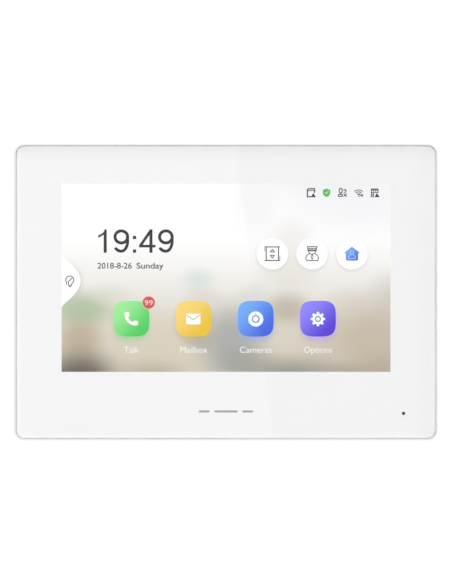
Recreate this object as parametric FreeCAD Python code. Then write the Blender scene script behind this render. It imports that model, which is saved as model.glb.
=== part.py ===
import FreeCAD, Part
import math
import os

# Seven-inch video intercom monitor hanging on its steel wall bracket. Millimetres.
# The origin is the centre of the bracket's wall face. +X is to the viewer's right,
# +Y goes into the wall and +Z is up, so the screen faces -Y.

V = FreeCAD.Vector

# --- driving dimensions: the body ---------------------------------------------------
BODY_WIDTH = 200.0
BODY_HEIGHT = 140.0
BODY_DEPTH = 27.0
BODY_CORNER = 4.8
RIM = 0.85              # visible edge of the front frame around the glass
RIM_GAP = 0.15          # slot between the rim and the glass
RIM_EDGE = 0.3          # rounding of the rim's outer edge
RIM_DROP = 0.3          # the rim lies this much behind the glass face
WALL = 2.0
FRAME_WALL = 2.2
LEDGE = 1.6             # shelf of the front frame that carries the glass
PARTING_Y = -16.5       # where the front frame meets the rear cover
COVER_STEP = 0.8        # the rear cover is this much smaller than the frame
COVER_BACK_Y = -0.5     # back face of the rear cover, just clear of the wall
COVER_TAPER_Y = -9.0    # where the cover's sides start to slope in
COVER_TAPER = 8.2       # how far they slope in by the back face
SPLIT_GAP = 0.15

# --- driving dimensions: glass, screen and its stack, front to back -----------------
GLASS_THICK = 2.0
GLASS_CORNER = 3.8
GLASS_CHAMFER = 0.35
MASK = 0.1              # from the glass to the back of the print
PRINT_GAP = 0.02        # clear film between the glass and the print
PRINT_INSET = 0.05      # from the glass's edge to the print's
SCREEN_WIDTH = 155.3
SCREEN_HEIGHT = 88.8
SCREEN_Z = 6.7          # height of the screen's centre
MODULE_WIDTH = 165.0
MODULE_HEIGHT = 101.0
TRAY = 0.35
STACK = (
    ("touch", 0.7),
    ("gasket", 0.5),
    ("cell", 1.3),
    ("films", 0.3),
    ("guide", 2.0),
    ("reflector", 0.15),
    ("tray", TRAY),
    ("retainer", 0.8),
    ("standoff", 2.0),
    ("board", 1.6),
)
MIC_X = 83.8
MIC_Z = -57.3
MIC_HOLE = 0.75         # radius of the hole through the glass
GUIDE_MARGIN_LEFT = 2.2     # room for the backlight strip and its lamps
GUIDE_MARGIN_RIGHT = 0.7
LED_COUNT = 18
LED_LENGTH = 3.0
FLEX = 0.25             # thickness of the flat cables
FLEX_LOW_Z = -46.4      # where they turn under the screen module
FLEX_END_Z = -38.5
LCD_FLEX_X = (41.0, 53.0)
TOUCH_FLEX_X = (-50.0, -43.0)

# --- driving dimensions: the wall bracket and the hang ------------------------------
BRACKET_WIDTH = 118.0
BRACKET_HEIGHT = 96.0
BRACKET_THICK = 1.5
BRACKET_WINDOW = (-22.0, 22.0, -33.0, 33.0)
WALL_SCREW_X = 52.0
WALL_SCREW_Z = 41.0
WALL_SCREW_HOLE = 2.25
BOX_SLOT_HALF = 2.1     # half the width of the back-box slots
BOX_SLOT_LENGTH = 8.0
ROUND_BOX_SPACING = 60.3
GANG_BOX_SPACING = 83.5
HOOK_X = 45.0
HOOK_Z = 26.0           # top of the hook's neck, above and below the centre
HOOK_WIDTH = 9.0
HOOK_PRONG = 6.0
HOOK_GAP = 0.5          # between the prong and the inside of the cover
LIFT = 7.0              # lifting travel that frees the monitor
SLOT_WIDTH = 11.0
SLOT_HEIGHT = HOOK_PRONG + BRACKET_THICK + 2.5
RECESS = 1.5            # depth of the recess in the cover that takes the bracket
RECESS_WIDTH = 122.0

# --- driving dimensions: connector bay and connectors -------------------------------
BAY_HALF = 35.0
BAY_LOW = -46.0
BAY_TOP = -6.0
BAY_FLOOR_Y = -15.0
BAY_WALL = 1.6
JACK_X = 8.0
JACK_WIDTH = 16.0
JACK_LENGTH = 19.5
CONNECTOR_BACK_Y = -4.3
ALARM_X = -17.5
ALARM_POLES = 8
ALARM_PITCH = 3.81
POWER_X = 24.0
POWER_POLES = 2
POWER_PITCH = 5.08
HEADER_BACK_Y = -6.4
RESET_X = 33.4
RESET_Y = -13.4
RESET_RADIUS = 0.8
CARD_Z = -22.0
CARD_SOCKET_DEPTH = 15.0
PORT_Y = (-13.9, -6.9)  # opening of the network jack
PORT_HALF = 5.9
HEADER_LENGTH = 11.5
HEADER_WALL = 0.9
PIN_HALF = 0.5
PLUG_STEP = 0.4         # between the header's mouth and the plug's shoulder
PLUG_LENGTH = 11.6
PLUG_Y = (-14.6, -5.4)
PLUG_SCREW_RISE = 4.4   # from the plug's foot to its clamp screws
PLUG_SCREW_DEPTH = 3.4

# --- driving dimensions: board, screws, sound and radio -----------------------------
BOARD_HALF = 66.0
BOARD_LOW = -46.0
BOARD_TOP = 50.0
BOARD_CUT_HALF = 39.5
BOARD_CUT_TOP = -3.8
STANDOFFS = ((-61.0, 45.0), (0.0, 45.0), (61.0, 45.0), (-61.0, -41.0), (61.0, -41.0))
RETAINER_EARS = ((-60.0, 62.5), (60.0, 62.5), (-60.0, -51.5), (60.0, -51.5))
COVER_SCREWS = ((-87.0, 57.5), (87.0, 57.5), (-87.0, 0.0), (87.0, 0.0), (-66.0, -57.5), (66.0, -57.5))
COVER_SEAT_Y = -10.0    # where a cover screw's head bears
BOSS_TOP_Y = -12.0
SPEAKER_X = -78.0
SPEAKER_Z = -28.0
SPEAKER_WIDTH = 20.0
SPEAKER_LENGTH = 40.0
SPEAKER_DEPTH = 4.0
MAGNET_RADIUS = 8.5
MIC_BOOT = 4.0          # radius of the microphone's rubber boot
CAPSULE = 3.0           # radius of the pocket for its capsule
CHIP_HEIGHT = 1.2
SHIELD_HEIGHT = 2.4
SHIELD_WALL = 0.3
SHIELD_BOX = (-43.0, -2.0, 12.0, 42.0)
PROCESSOR_XZ = (-31.0, 27.0)
PROCESSOR_SIDE = 15.0
PAD_HALF = 6.5
MEMORY_XZ = ((-13.0, 33.5), (-13.0, 20.5))
SMALL_CHIPS = (         # x, z, width and height of each
    (-52.0, 30.0, 7.0, 7.0),
    (-52.0, 14.0, 6.0, 5.0),
    (20.0, 12.0, 6.0, 8.0),
    (46.0, 10.0, 5.0, 5.0),
)
INDUCTORS = ((44.0, 20.0), (56.0, 20.0), (44.0, 30.0), (56.0, 8.0))
INDUCTOR_HALF = 3.2
INDUCTOR_HEIGHT = 3.0
CAPACITORS = ((34.0, 8.0), (34.0, 17.0), (56.0, 30.0), (-44.0, 4.0), (-54.0, 4.0))
CAPACITOR_RADIUS = 3.0
CAPACITOR_HEIGHT = 5.4
TRANSFORMER = (2.0, 17.0, 16.0, 22.5)
TRANSFORMER_HEIGHT = 4.2
CELL_X = 28.0
CELL_Z = 36.0
CELL_RADIUS = 6.25
CELL_THICK = 2.0
LEAD_SOCKETS = ((-63.0, -58.5, -2.3), (51.0, 55.5, -39.3))
LEAD_SOCKET_HEIGHT = 3.4
ANTENNA = (-2.0, 38.0, 60.4, 66.0)
ANTENNA_X = 9.0         # where its lead comes down to the board
SOCKET_Z = 45.4

# --- driving dimensions: rear cover details -----------------------------------------
COVER_WELL = 4.5        # outside radius of the wells around the cover screws
COVER_BORE = 3.1
VENT_COUNT = 17
VENT_SPACING = 6.0
VENT_FRONT_Y = -14.6
GRILLE_COUNT = 9
GRILLE_SPACING = 3.6
LABEL_X = 76.0
LABEL_Z = 24.0
LABEL_WIDTH = 22.0
LABEL_HEIGHT = 36.0
LABEL_SINK = 0.2
LABEL_THICK = 0.15

# --- depth stations worked out from the stack ---------------------------------------
FRONT_Y = -BODY_DEPTH
GLASS_BACK_Y = FRONT_Y + GLASS_THICK
MASK_BACK_Y = GLASS_BACK_Y + MASK
LEDGE_FRONT_Y = MASK_BACK_Y + 0.5
LEDGE_BACK_Y = LEDGE_FRONT_Y + LEDGE
FACE = {}
station = MASK_BACK_Y
for layer, thickness in STACK:
    FACE[layer] = (station, station + thickness)
    station += thickness
BOARD_BACK_Y = FACE["board"][1]
RECESS_Y = COVER_BACK_Y - RECESS
RECESS_INNER_Y = RECESS_Y - WALL
GLASS_WIDTH = BODY_WIDTH - 2 * (RIM + RIM_GAP)
GLASS_HEIGHT = BODY_HEIGHT - 2 * (RIM + RIM_GAP)
COVER_WIDTH = BODY_WIDTH - 2 * COVER_STEP
COVER_HEIGHT = BODY_HEIGHT - 2 * COVER_STEP
PRONG_FRONT_Y = RECESS_INNER_Y - HOOK_GAP - BRACKET_THICK
WINDOW_HALF = 83.2      # opening of the ledge that the screen module sits in
WINDOW_LOW = -47.5
WINDOW_TOP = 58.9
WINDOW_CENTRE_Z = (WINDOW_LOW + WINDOW_TOP) / 2
MODULE_LOW = SCREEN_Z - MODULE_HEIGHT / 2
GUIDE_LEFT = -MODULE_WIDTH / 2 + GUIDE_MARGIN_LEFT
GUIDE_RIGHT = MODULE_WIDTH / 2 - GUIDE_MARGIN_RIGHT
GUIDE_HALF_HEIGHT = MODULE_HEIGHT / 2 - 0.8
STRIP_LEFT = -MODULE_WIDTH / 2 + TRAY + 0.1
PLUG_SHOULDER_Z = BAY_TOP - PLUG_STEP
PLUG_FOOT_Z = PLUG_SHOULDER_Z - PLUG_LENGTH
TERMINAL_Y = (BOARD_BACK_Y + HEADER_BACK_Y) / 2
SPEAKER_FACE_Y = COVER_BACK_Y - WALL - 1.0
SPEAKER_BACK_Y = SPEAKER_FACE_Y - SPEAKER_DEPTH


# --- shape helpers ------------------------------------------------------------------
def box(x0, x1, y0, y1, z0, z1):
    return Part.makeBox(x1 - x0, y1 - y0, z1 - z0, V(x0, y0, z0))


def rod_y(x, z, radius, y0, y1):
    return Part.makeCylinder(radius, y1 - y0, V(x, y0, z), V(0, 1, 0))


def rod_z(x, y, radius, z0, z1):
    return Part.makeCylinder(radius, z1 - z0, V(x, y, z0), V(0, 0, 1))


def tube_y(x, z, outer, inner, y0, y1):
    return rod_y(x, z, outer, y0, y1).cut(rod_y(x, z, inner, y0 - 1, y1 + 1))


def rounded_wire(width, height, radius, y, x=0.0, z=0.0):
    """Rectangle with round corners, in the plane at depth y."""
    half_w = width / 2.0
    half_h = height / 2.0
    turn = radius * (1 - 0.5 ** 0.5)
    edges = []
    for sx, sz, across in ((1, 1, False), (-1, 1, True), (-1, -1, False), (1, -1, True)):
        side = V(x + sx * half_w, y, z + sz * (half_h - radius))
        middle = V(x + sx * (half_w - turn), y, z + sz * (half_h - turn))
        end = V(x + sx * (half_w - radius), y, z + sz * half_h)
        first, last = (end, side) if across else (side, end)
        if edges:
            edges.append(Part.LineSegment(edges[-1].EndPoint, first))
        edges.append(Part.Arc(first, middle, last))
    edges.append(Part.LineSegment(edges[-1].EndPoint, edges[0].StartPoint))
    return Part.Wire([edge.toShape() for edge in edges])


def slab(width, height, radius, y0, y1, x=0.0, z=0.0):
    face = Part.Face(rounded_wire(width, height, radius, y0, x, z))
    return face.extrude(V(0, y1 - y0, 0))


def slot_y(x, z, half_width, length, y0, y1, along_z=False):
    """Round-ended slot through a plate, along X unless along_z."""
    reach = length / 2.0 - half_width
    if along_z:
        body = box(x - half_width, x + half_width, y0, y1, z - reach, z + reach)
        ends = [(x, z - reach), (x, z + reach)]
    else:
        body = box(x - reach, x + reach, y0, y1, z - half_width, z + half_width)
        ends = [(x - reach, z), (x + reach, z)]
    return join([body] + [rod_y(ex, ez, half_width, y0, y1) for ex, ez in ends])


def join(shapes):
    result = shapes[0]
    if len(shapes) > 1:
        result = result.fuse(shapes[1:])
    return result.removeSplitter()


def remove(shape, tools):
    return shape.cut(tools)


def prism_x(outline, x0, x1):
    """Closed outline of (y, z) points, straight from x0 to x1."""
    points = [V(x0, y, z) for y, z in outline]
    face = Part.Face(Part.makePolygon(points + points[:1]))
    return face.extrude(V(x1 - x0, 0, 0))


def strip_x(path, thickness, x0, x1, bend=0.8):
    """Flat strip that follows (y, z) points with round bends."""
    spine = rounded_path([V(x0, y, z) for y, z in path], bend)
    outline = spine.makeOffset2D(thickness, 0, True, True)
    return outline.extrude(V(x1 - x0, 0, 0))


def rounded_path(points, radius):
    """Wire of straight runs joined by tangent arcs."""
    edges = []
    start = points[0]
    for before, corner, after in zip(points, points[1:], points[2:]):
        inward = (before - corner).normalize()
        outward = (after - corner).normalize()
        half_angle = inward.getAngle(outward) / 2.0
        trim = radius / math.tan(half_angle)
        trim = min(trim, 0.45 * (before - corner).Length, 0.45 * (after - corner).Length)
        arc_radius = trim * math.tan(half_angle)
        bisector = (inward + outward).normalize()
        centre = corner + bisector * (trim ** 2 + arc_radius ** 2) ** 0.5
        enter = corner + inward * trim
        leave = corner + outward * trim
        edges.append(Part.LineSegment(start, enter).toShape())
        edges.append(Part.Arc(enter, centre - bisector * arc_radius, leave).toShape())
        start = leave
    edges.append(Part.LineSegment(start, points[-1]).toShape())
    return Part.Wire(edges)


def lead(points, radius, bend=3.0):
    """Thin round wire along straight runs joined by arcs."""
    spine = rounded_path(points, bend)
    direction = (points[1] - points[0]).normalize()
    section = Part.Wire([Part.makeCircle(radius, points[0], direction)])
    return spine.makePipeShell([section], True, True)


def group(shapes):
    return Part.makeCompound(shapes)


def edges_at_y(shape, y):
    """Edges that lie wholly in the plane at depth y."""
    found = []
    for edge in shape.Edges:
        bounds = edge.BoundBox
        if abs(bounds.YMax - y) < 1e-6 and abs(bounds.YMin - y) < 1e-6:
            found.append(edge)
    return found


# --- glass, print and screen stack --------------------------------------------------
def make_cover_glass():
    glass = slab(GLASS_WIDTH, GLASS_HEIGHT, GLASS_CORNER, FRONT_Y, GLASS_BACK_Y)
    glass = glass.makeChamfer(GLASS_CHAMFER, edges_at_y(glass, FRONT_Y))
    return remove(glass, rod_y(MIC_X, MIC_Z, MIC_HOLE, FRONT_Y - 1, GLASS_BACK_Y + 1))


def make_mask_print():
    front = GLASS_BACK_Y + PRINT_GAP
    width = GLASS_WIDTH - 2 * PRINT_INSET
    height = GLASS_HEIGHT - 2 * PRINT_INSET
    sheet = slab(width, height, GLASS_CORNER - PRINT_INSET, front, MASK_BACK_Y)
    half_w = SCREEN_WIDTH / 2
    half_h = SCREEN_HEIGHT / 2
    window = box(-half_w, half_w, front - 1, MASK_BACK_Y + 1, SCREEN_Z - half_h, SCREEN_Z + half_h)
    return remove(sheet, [window, rod_y(MIC_X, MIC_Z, MIC_HOLE, front - 1, MASK_BACK_Y + 1)])


def screen_slab(layer, width, height, radius=0.5):
    return slab(width, height, radius, FACE[layer][0], FACE[layer][1], 0.0, SCREEN_Z)


def make_touch_sensor():
    return screen_slab("touch", MODULE_WIDTH - 2, MODULE_HEIGHT - 4)


def make_lcd_gasket():
    return remove(
        screen_slab("gasket", MODULE_WIDTH - 1, MODULE_HEIGHT - 1.4),
        screen_slab("gasket", SCREEN_WIDTH + 2, SCREEN_HEIGHT + 2),
    )


def make_lcd_glass():
    return screen_slab("cell", MODULE_WIDTH - 2 * TRAY - 0.3, MODULE_HEIGHT - 2 * TRAY - 0.3)


def make_optical_films():
    return screen_slab("films", MODULE_WIDTH - 1.6, MODULE_HEIGHT - 1.6)


def make_light_guide():
    low = SCREEN_Z - GUIDE_HALF_HEIGHT
    high = SCREEN_Z + GUIDE_HALF_HEIGHT
    return box(GUIDE_LEFT, GUIDE_RIGHT, FACE["guide"][0], FACE["guide"][1], low, high)


def make_backlight_strip():
    low = SCREEN_Z - GUIDE_HALF_HEIGHT
    high = SCREEN_Z + GUIDE_HALF_HEIGHT
    return box(STRIP_LEFT, STRIP_LEFT + 0.4, FACE["guide"][0], FACE["guide"][1], low, high)


def make_backlight_leds():
    left = STRIP_LEFT + 0.4
    front = FACE["guide"][0] + 0.4
    back = FACE["guide"][1] - 0.4
    half = LED_LENGTH / 2
    spacing = 2 * GUIDE_HALF_HEIGHT / LED_COUNT
    leds = []
    for index in range(LED_COUNT):
        z = SCREEN_Z - GUIDE_HALF_HEIGHT + (index + 0.5) * spacing
        leds.append(box(left, left + 0.9, front, back, z - half, z + half))
    return group(leds)


def make_reflector_sheet():
    return screen_slab("reflector", MODULE_WIDTH - 1.6, MODULE_HEIGHT - 1.6)


def make_lcd_tray():
    front = FACE["cell"][0]
    back = FACE["tray"][0]
    inner_width = MODULE_WIDTH - 2 * TRAY
    inner_height = MODULE_HEIGHT - 2 * TRAY
    floor = screen_slab("tray", MODULE_WIDTH, MODULE_HEIGHT)
    outer = slab(MODULE_WIDTH, MODULE_HEIGHT, 0.5, front, back, 0, SCREEN_Z)
    inner = slab(inner_width, inner_height, 0.3, front - 1, back, 0, SCREEN_Z)
    notch_x = (LCD_FLEX_X[0] - 1, LCD_FLEX_X[1] + 1)
    notch = box(notch_x[0], notch_x[1], front - 1, FACE["cell"][1] + 0.2, MODULE_LOW - 1, MODULE_LOW + 1)
    return remove(join([floor, outer.cut(inner)]), notch)


def flex(start_y, start_z, x_range):
    """Flat cable down off an edge, round under the screen module and up to the board."""
    back_y = FACE["board"][0] - 0.9
    path = [(start_y, start_z), (start_y, FLEX_LOW_Z), (back_y, FLEX_LOW_Z), (back_y, FLEX_END_Z)]
    return strip_x(path, FLEX, x_range[0], x_range[1])


def make_lcd_flex():
    return flex(FACE["cell"][1] - 0.3, MODULE_LOW + TRAY + 0.15, LCD_FLEX_X)


def make_touch_flex():
    return flex(FACE["touch"][0] + 0.3, MODULE_LOW + 2, TOUCH_FLEX_X)


def make_flex_connectors():
    """Low sockets on the front of the board that take the two flat cables."""
    shapes = []
    board = FACE["board"][0]
    low = FLEX_END_Z - 1.0
    for left, right in (LCD_FLEX_X, TOUCH_FLEX_X):
        shell = box(left - 1.5, right + 1.5, board - 1.5, board, low, low + 4.5)
        mouth = box(left - 0.2, right + 0.2, board - 1.2, board - 0.5, low - 0.5, low + 2.0)
        shapes.append(shell.cut(mouth))
    return group(shapes)


# --- front frame, adhesive and the plate that holds the screen ----------------------
def make_front_frame():
    rim_y = FRONT_Y + RIM_DROP
    frame = slab(BODY_WIDTH, BODY_HEIGHT, BODY_CORNER, rim_y, PARTING_Y)
    frame = frame.makeFillet(RIM_EDGE, edges_at_y(frame, rim_y))
    seat_width = GLASS_WIDTH + 2 * RIM_GAP
    seat_height = GLASS_HEIGHT + 2 * RIM_GAP
    seat = slab(seat_width, seat_height, GLASS_CORNER + RIM_GAP, rim_y - 1, LEDGE_FRONT_Y)
    inner_width = BODY_WIDTH - 2 * FRAME_WALL
    inner_height = BODY_HEIGHT - 2 * FRAME_WALL
    hollow = slab(inner_width, inner_height, BODY_CORNER - FRAME_WALL, LEDGE_BACK_Y, PARTING_Y + 1)
    window = slab(2 * WINDOW_HALF, WINDOW_TOP - WINDOW_LOW, 2.0, rim_y - 1, 0, 0, WINDOW_CENTRE_Z)
    frame = remove(frame, [seat, hollow, window])
    root = LEDGE_BACK_Y - 0.5
    posts = [rod_y(x, z, 3.2, root, BOSS_TOP_Y) for x, z in COVER_SCREWS]
    posts += [rod_y(x, z, 3.0, root, FACE["retainer"][0]) for x, z in RETAINER_EARS]
    posts.append(tube_y(MIC_X, MIC_Z, MIC_BOOT + 1.2, MIC_BOOT + 0.05, root, LEDGE_BACK_Y + 3.0))
    frame = join([frame] + posts)
    pilots = [rod_y(x, z, 1.2, BOSS_TOP_Y - 8.5, BOSS_TOP_Y + 1) for x, z in COVER_SCREWS]
    pilots += [rod_y(x, z, 0.9, LEDGE_FRONT_Y + 0.6, 0) for x, z in RETAINER_EARS]
    pilots.append(rod_y(MIC_X, MIC_Z, 1.2, LEDGE_FRONT_Y - 1, LEDGE_BACK_Y + 1))
    return remove(frame, pilots)


def make_glass_adhesive():
    outer = slab(GLASS_WIDTH - 2.4, GLASS_HEIGHT - 2.4, 2.6, MASK_BACK_Y, LEDGE_FRONT_Y)
    inner_height = WINDOW_TOP - WINDOW_LOW + 2
    inner = slab(2 * WINDOW_HALF + 2, inner_height, 3.0, MASK_BACK_Y - 1, 0, 0, WINDOW_CENTRE_Z)
    return remove(outer, [inner, rod_y(MIC_X, MIC_Z, 1.5, MASK_BACK_Y - 1, 0)])


def make_retainer_plate():
    y0, y1 = FACE["retainer"]
    plate = slab(MODULE_WIDTH - 2, MODULE_HEIGHT - 1.4, 3.0, y0, y1, 0, SCREEN_Z)
    ears = []
    for x, z in RETAINER_EARS:
        toward = math.copysign(14.0, -z)
        ears.append(rod_y(x, z, 4.0, y0, y1))
        ears.append(box(x - 4, x + 4, y0, y1, min(z, z + toward), max(z, z + toward)))
    plate = join([plate] + ears)
    holes = [rod_y(x, z, 1.15, y0 - 1, y1 + 1) for x, z in RETAINER_EARS]
    holes += [rod_y(x, z, 1.75, y0 - 1, y1 + 1) for x, z in STANDOFFS]
    beads = [slot_y(0, z, 1.5, 110, y0 - 1, y1 + 1) for z in (-30.0, 36.0)]
    return remove(plate, holes + beads)


def screw(x, z, head_radius, head_y0, head_y1, shank_radius, tip_y):
    """Pan head with a cross recess, its shank pointing towards the glass."""
    head = rod_y(x, z, head_radius, head_y0, head_y1)
    head = head.makeFillet(0.35 * (head_y1 - head_y0), edges_at_y(head, head_y1))
    arm = 0.55 * head_radius
    thin = 0.16 * head_radius
    depth = head_y1 - 0.55 * (head_y1 - head_y0)
    cross = [
        box(x - arm, x + arm, depth, head_y1 + 1, z - thin, z + thin),
        box(x - thin, x + thin, depth, head_y1 + 1, z - arm, z + arm),
    ]
    shank = rod_y(x, z, shank_radius, tip_y, head_y0 + 0.1)
    return remove(join([head, shank]), cross)


def make_retainer_screws():
    y1 = FACE["retainer"][1]
    return group([screw(x, z, 1.9, y1, y1 + 1.2, 1.0, LEDGE_FRONT_Y + 1.0) for x, z in RETAINER_EARS])


def make_board_standoffs():
    y0, y1 = FACE["standoff"]
    return group([tube_y(x, z, 2.6, 1.4, y0, y1) for x, z in STANDOFFS])


# --- main board and what it carries -------------------------------------------------
def make_main_board():
    y0, y1 = FACE["board"]
    height = BOARD_TOP - BOARD_LOW
    centre_z = (BOARD_TOP + BOARD_LOW) / 2
    board = slab(2 * BOARD_HALF, height, 1.5, y0, y1, 0, centre_z)
    cut = box(-BOARD_CUT_HALF, BOARD_CUT_HALF, y0 - 1, y1 + 1, BOARD_LOW - 1, BOARD_CUT_TOP)
    holes = [rod_y(x, z, 1.6, y0 - 1, y1 + 1) for x, z in STANDOFFS]
    return remove(board, [cut] + holes)


def make_board_screws():
    tip = FACE["standoff"][0] - 0.4
    return group([screw(x, z, 2.7, BOARD_BACK_Y, BOARD_BACK_Y + 1.8, 1.45, tip) for x, z in STANDOFFS])


def on_board(x0, x1, z0, z1, tall):
    """Block that stands on the back of the board."""
    return box(x0, x1, BOARD_BACK_Y, BOARD_BACK_Y + tall, z0, z1)


def chip(x, z, width, height, tall):
    """Flat package with a small round dimple by its first pin."""
    top = BOARD_BACK_Y + tall
    body = on_board(x - width / 2, x + width / 2, z - height / 2, z + height / 2, tall)
    return body.cut(rod_y(x - width / 2 + 1.2, z + height / 2 - 1.2, 0.4, top - 0.1, top + 1))


def make_processor_chip():
    return chip(PROCESSOR_XZ[0], PROCESSOR_XZ[1], PROCESSOR_SIDE, PROCESSOR_SIDE, CHIP_HEIGHT)


def make_memory_chips():
    return group([chip(x, z, 13.0, 8.0, CHIP_HEIGHT) for x, z in MEMORY_XZ])


def make_thermal_pad():
    x, z = PROCESSOR_XZ
    y0 = BOARD_BACK_Y + CHIP_HEIGHT
    y1 = BOARD_BACK_Y + SHIELD_HEIGHT - SHIELD_WALL
    return box(x - PAD_HALF, x + PAD_HALF, y0, y1, z - PAD_HALF, z + PAD_HALF)


def make_shield_can():
    x0, x1, z0, z1 = SHIELD_BOX
    y1 = BOARD_BACK_Y + SHIELD_HEIGHT
    wall = SHIELD_WALL
    can = on_board(x0, x1, z0, z1, SHIELD_HEIGHT)
    inside = box(x0 + wall, x1 - wall, BOARD_BACK_Y - 1, y1 - wall, z0 + wall, z1 - wall)
    holes = []
    for row in range(3):
        for column in range(4):
            holes.append(rod_y(x1 - 16.0 + 3.4 * column, z0 + 11.0 + 3.4 * row, 0.8, y1 - 1, y1 + 1))
    return remove(can, [inside] + holes)


def make_small_chips():
    return group([chip(x, z, width, height, 1.0) for x, z, width, height in SMALL_CHIPS])


def make_power_inductors():
    shapes = []
    half = INDUCTOR_HALF
    for x, z in INDUCTORS:
        body = on_board(x - half, x + half, z - half, z + half, INDUCTOR_HEIGHT)
        edges = [edge for edge in body.Edges if edge.BoundBox.YLength > 0.9 * INDUCTOR_HEIGHT]
        shapes.append(body.makeChamfer(0.9, edges))
    return group(shapes)


def make_capacitors():
    shapes = []
    half = CAPACITOR_RADIUS + 0.1
    for x, z in CAPACITORS:
        base = on_board(x - half, x + half, z - half, z + half, 0.6)
        can = rod_y(x, z, CAPACITOR_RADIUS, BOARD_BACK_Y + 0.3, BOARD_BACK_Y + CAPACITOR_HEIGHT)
        shapes.append(join([base, can]))
    return group(shapes)


def make_network_transformer():
    body = on_board(*TRANSFORMER, TRANSFORMER_HEIGHT)
    upright = [edge for edge in body.Edges if edge.BoundBox.YLength > 0.9 * TRANSFORMER_HEIGHT]
    return body.makeFillet(0.4, upright)


def make_cell_holder():
    outer = CELL_RADIUS + 1.55
    cup = tube_y(CELL_X, CELL_Z, outer, CELL_RADIUS + 0.15, BOARD_BACK_Y + 0.5, BOARD_BACK_Y + 2.8)
    return join([cup, rod_y(CELL_X, CELL_Z, outer, BOARD_BACK_Y, BOARD_BACK_Y + 0.6)])


def make_coin_cell():
    top = BOARD_BACK_Y + 0.6 + CELL_THICK
    cell = rod_y(CELL_X, CELL_Z, CELL_RADIUS, BOARD_BACK_Y + 0.6, top)
    return cell.makeFillet(0.3, edges_at_y(cell, top))


def make_card_socket():
    left = BAY_HALF + BAY_WALL + 0.4
    right = left + CARD_SOCKET_DEPTH
    shell = on_board(left, right, CARD_Z - 7.2, CARD_Z + 7.2, 1.9)
    mouth = (BOARD_BACK_Y + 0.5, BOARD_BACK_Y + 1.5)
    return shell.cut(box(left - 1, right - 1, mouth[0], mouth[1], CARD_Z - 5.8, CARD_Z + 5.8))


# --- network jack, terminal headers and their plugs ---------------------------------
def make_rj45_jack():
    half = JACK_WIDTH / 2
    low = BAY_TOP - 1
    top = BAY_TOP + JACK_LENGTH
    shell = box(JACK_X - half, JACK_X + half, BOARD_BACK_Y, CONNECTOR_BACK_Y, BAY_TOP, top)
    port = box(JACK_X - PORT_HALF, JACK_X + PORT_HALF, PORT_Y[0], PORT_Y[1], low, BAY_TOP + 14.0)
    latch = box(JACK_X - 3.2, JACK_X + 3.2, PORT_Y[1] - 0.5, PORT_Y[1] + 1.6, low, BAY_TOP + 10.0)
    return remove(shell, [port, latch])


def make_rj45_contacts():
    contacts = []
    y = PORT_Y[0]
    outline = ((y, 7.5), (y, 1.0), (y + 0.4, 0.4), (y + 1.2, 6.4), (y + 0.7, 7.5))
    for index in range(8):
        x = JACK_X + (index - 3.5) * 1.02
        contacts.append(prism_x(outline, x - 0.22, x + 0.22))
    return group(contacts)


def pole_places(x, poles, pitch):
    return [x + (index - (poles - 1) / 2) * pitch for index in range(poles)]


def terminal_header(x, poles, pitch):
    half = poles * pitch / 2 + 1.0
    shell = box(x - half, x + half, BOARD_BACK_Y, HEADER_BACK_Y, BAY_TOP, BAY_TOP + HEADER_LENGTH)
    inside = half - HEADER_WALL
    inside_y = (BOARD_BACK_Y + HEADER_WALL, HEADER_BACK_Y - HEADER_WALL)
    floor = BAY_TOP + HEADER_LENGTH - 1.9
    hollow = box(x - inside, x + inside, inside_y[0], inside_y[1], BAY_TOP - 1, floor)
    pin_y = (TERMINAL_Y - PIN_HALF, TERMINAL_Y + PIN_HALF)
    pins = []
    for px in pole_places(x, poles, pitch):
        pins.append(box(px - PIN_HALF, px + PIN_HALF, pin_y[0], pin_y[1], BAY_TOP + 1.4, floor + 0.4))
    return join([shell.cut(hollow)] + pins)


def terminal_plug(x, poles, pitch):
    nose_half = poles * pitch / 2 - 0.05
    body_half = poles * pitch / 2 + 0.4
    nose_y = (BOARD_BACK_Y + HEADER_WALL + 0.15, HEADER_BACK_Y - HEADER_WALL - 0.15)
    nose = box(x - nose_half, x + nose_half, nose_y[0], nose_y[1], PLUG_SHOULDER_Z - 0.5, BAY_TOP + 9.2)
    low = PLUG_FOOT_Z
    body = box(x - body_half, x + body_half, PLUG_Y[0], PLUG_Y[1], low, PLUG_SHOULDER_Z)
    shoulder = []
    for edge in edges_at_y(body, PLUG_Y[1]):
        if edge.BoundBox.ZMin > PLUG_SHOULDER_Z - 0.01:
            shoulder.append(edge)
    body = body.makeChamfer(1.6, shoulder)
    sleeve = PIN_HALF + 0.25
    sleeve_y = (TERMINAL_Y - sleeve, TERMINAL_Y + sleeve)
    screw_z = low + PLUG_SCREW_RISE
    cuts = []
    for px in pole_places(x, poles, pitch):
        cuts.append(box(px - sleeve, px + sleeve, sleeve_y[0], sleeve_y[1], BAY_TOP - 2.0, BAY_TOP + 10.0))
        cuts.append(box(px - 1.2, px + 1.2, -13.2, -10.4, low - 1, low + 7.0))
        cuts.append(rod_y(px, screw_z, 1.35, PLUG_Y[1] - PLUG_SCREW_DEPTH, PLUG_Y[1] + 1))
    return remove(join([nose, body]), cuts)


def plug_screws(x, poles, pitch):
    z = PLUG_FOOT_Z + PLUG_SCREW_RISE
    back = PLUG_Y[1]
    screws = []
    for px in pole_places(x, poles, pitch):
        head = rod_y(px, z, 1.3, back - PLUG_SCREW_DEPTH, back - 0.9)
        screws.append(head.cut(box(px - 2, px + 2, back - 1.6, back, z - 0.25, z + 0.25)))
    return group(screws)


# --- reset button -------------------------------------------------------------------
def make_reset_switch():
    body = on_board(RESET_X - 3.0, RESET_X + 3.0, -2.8, 1.2, 3.6)
    return body.cut(rod_z(RESET_X, RESET_Y, RESET_RADIUS + 0.05, -3.5, -0.9))


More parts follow.
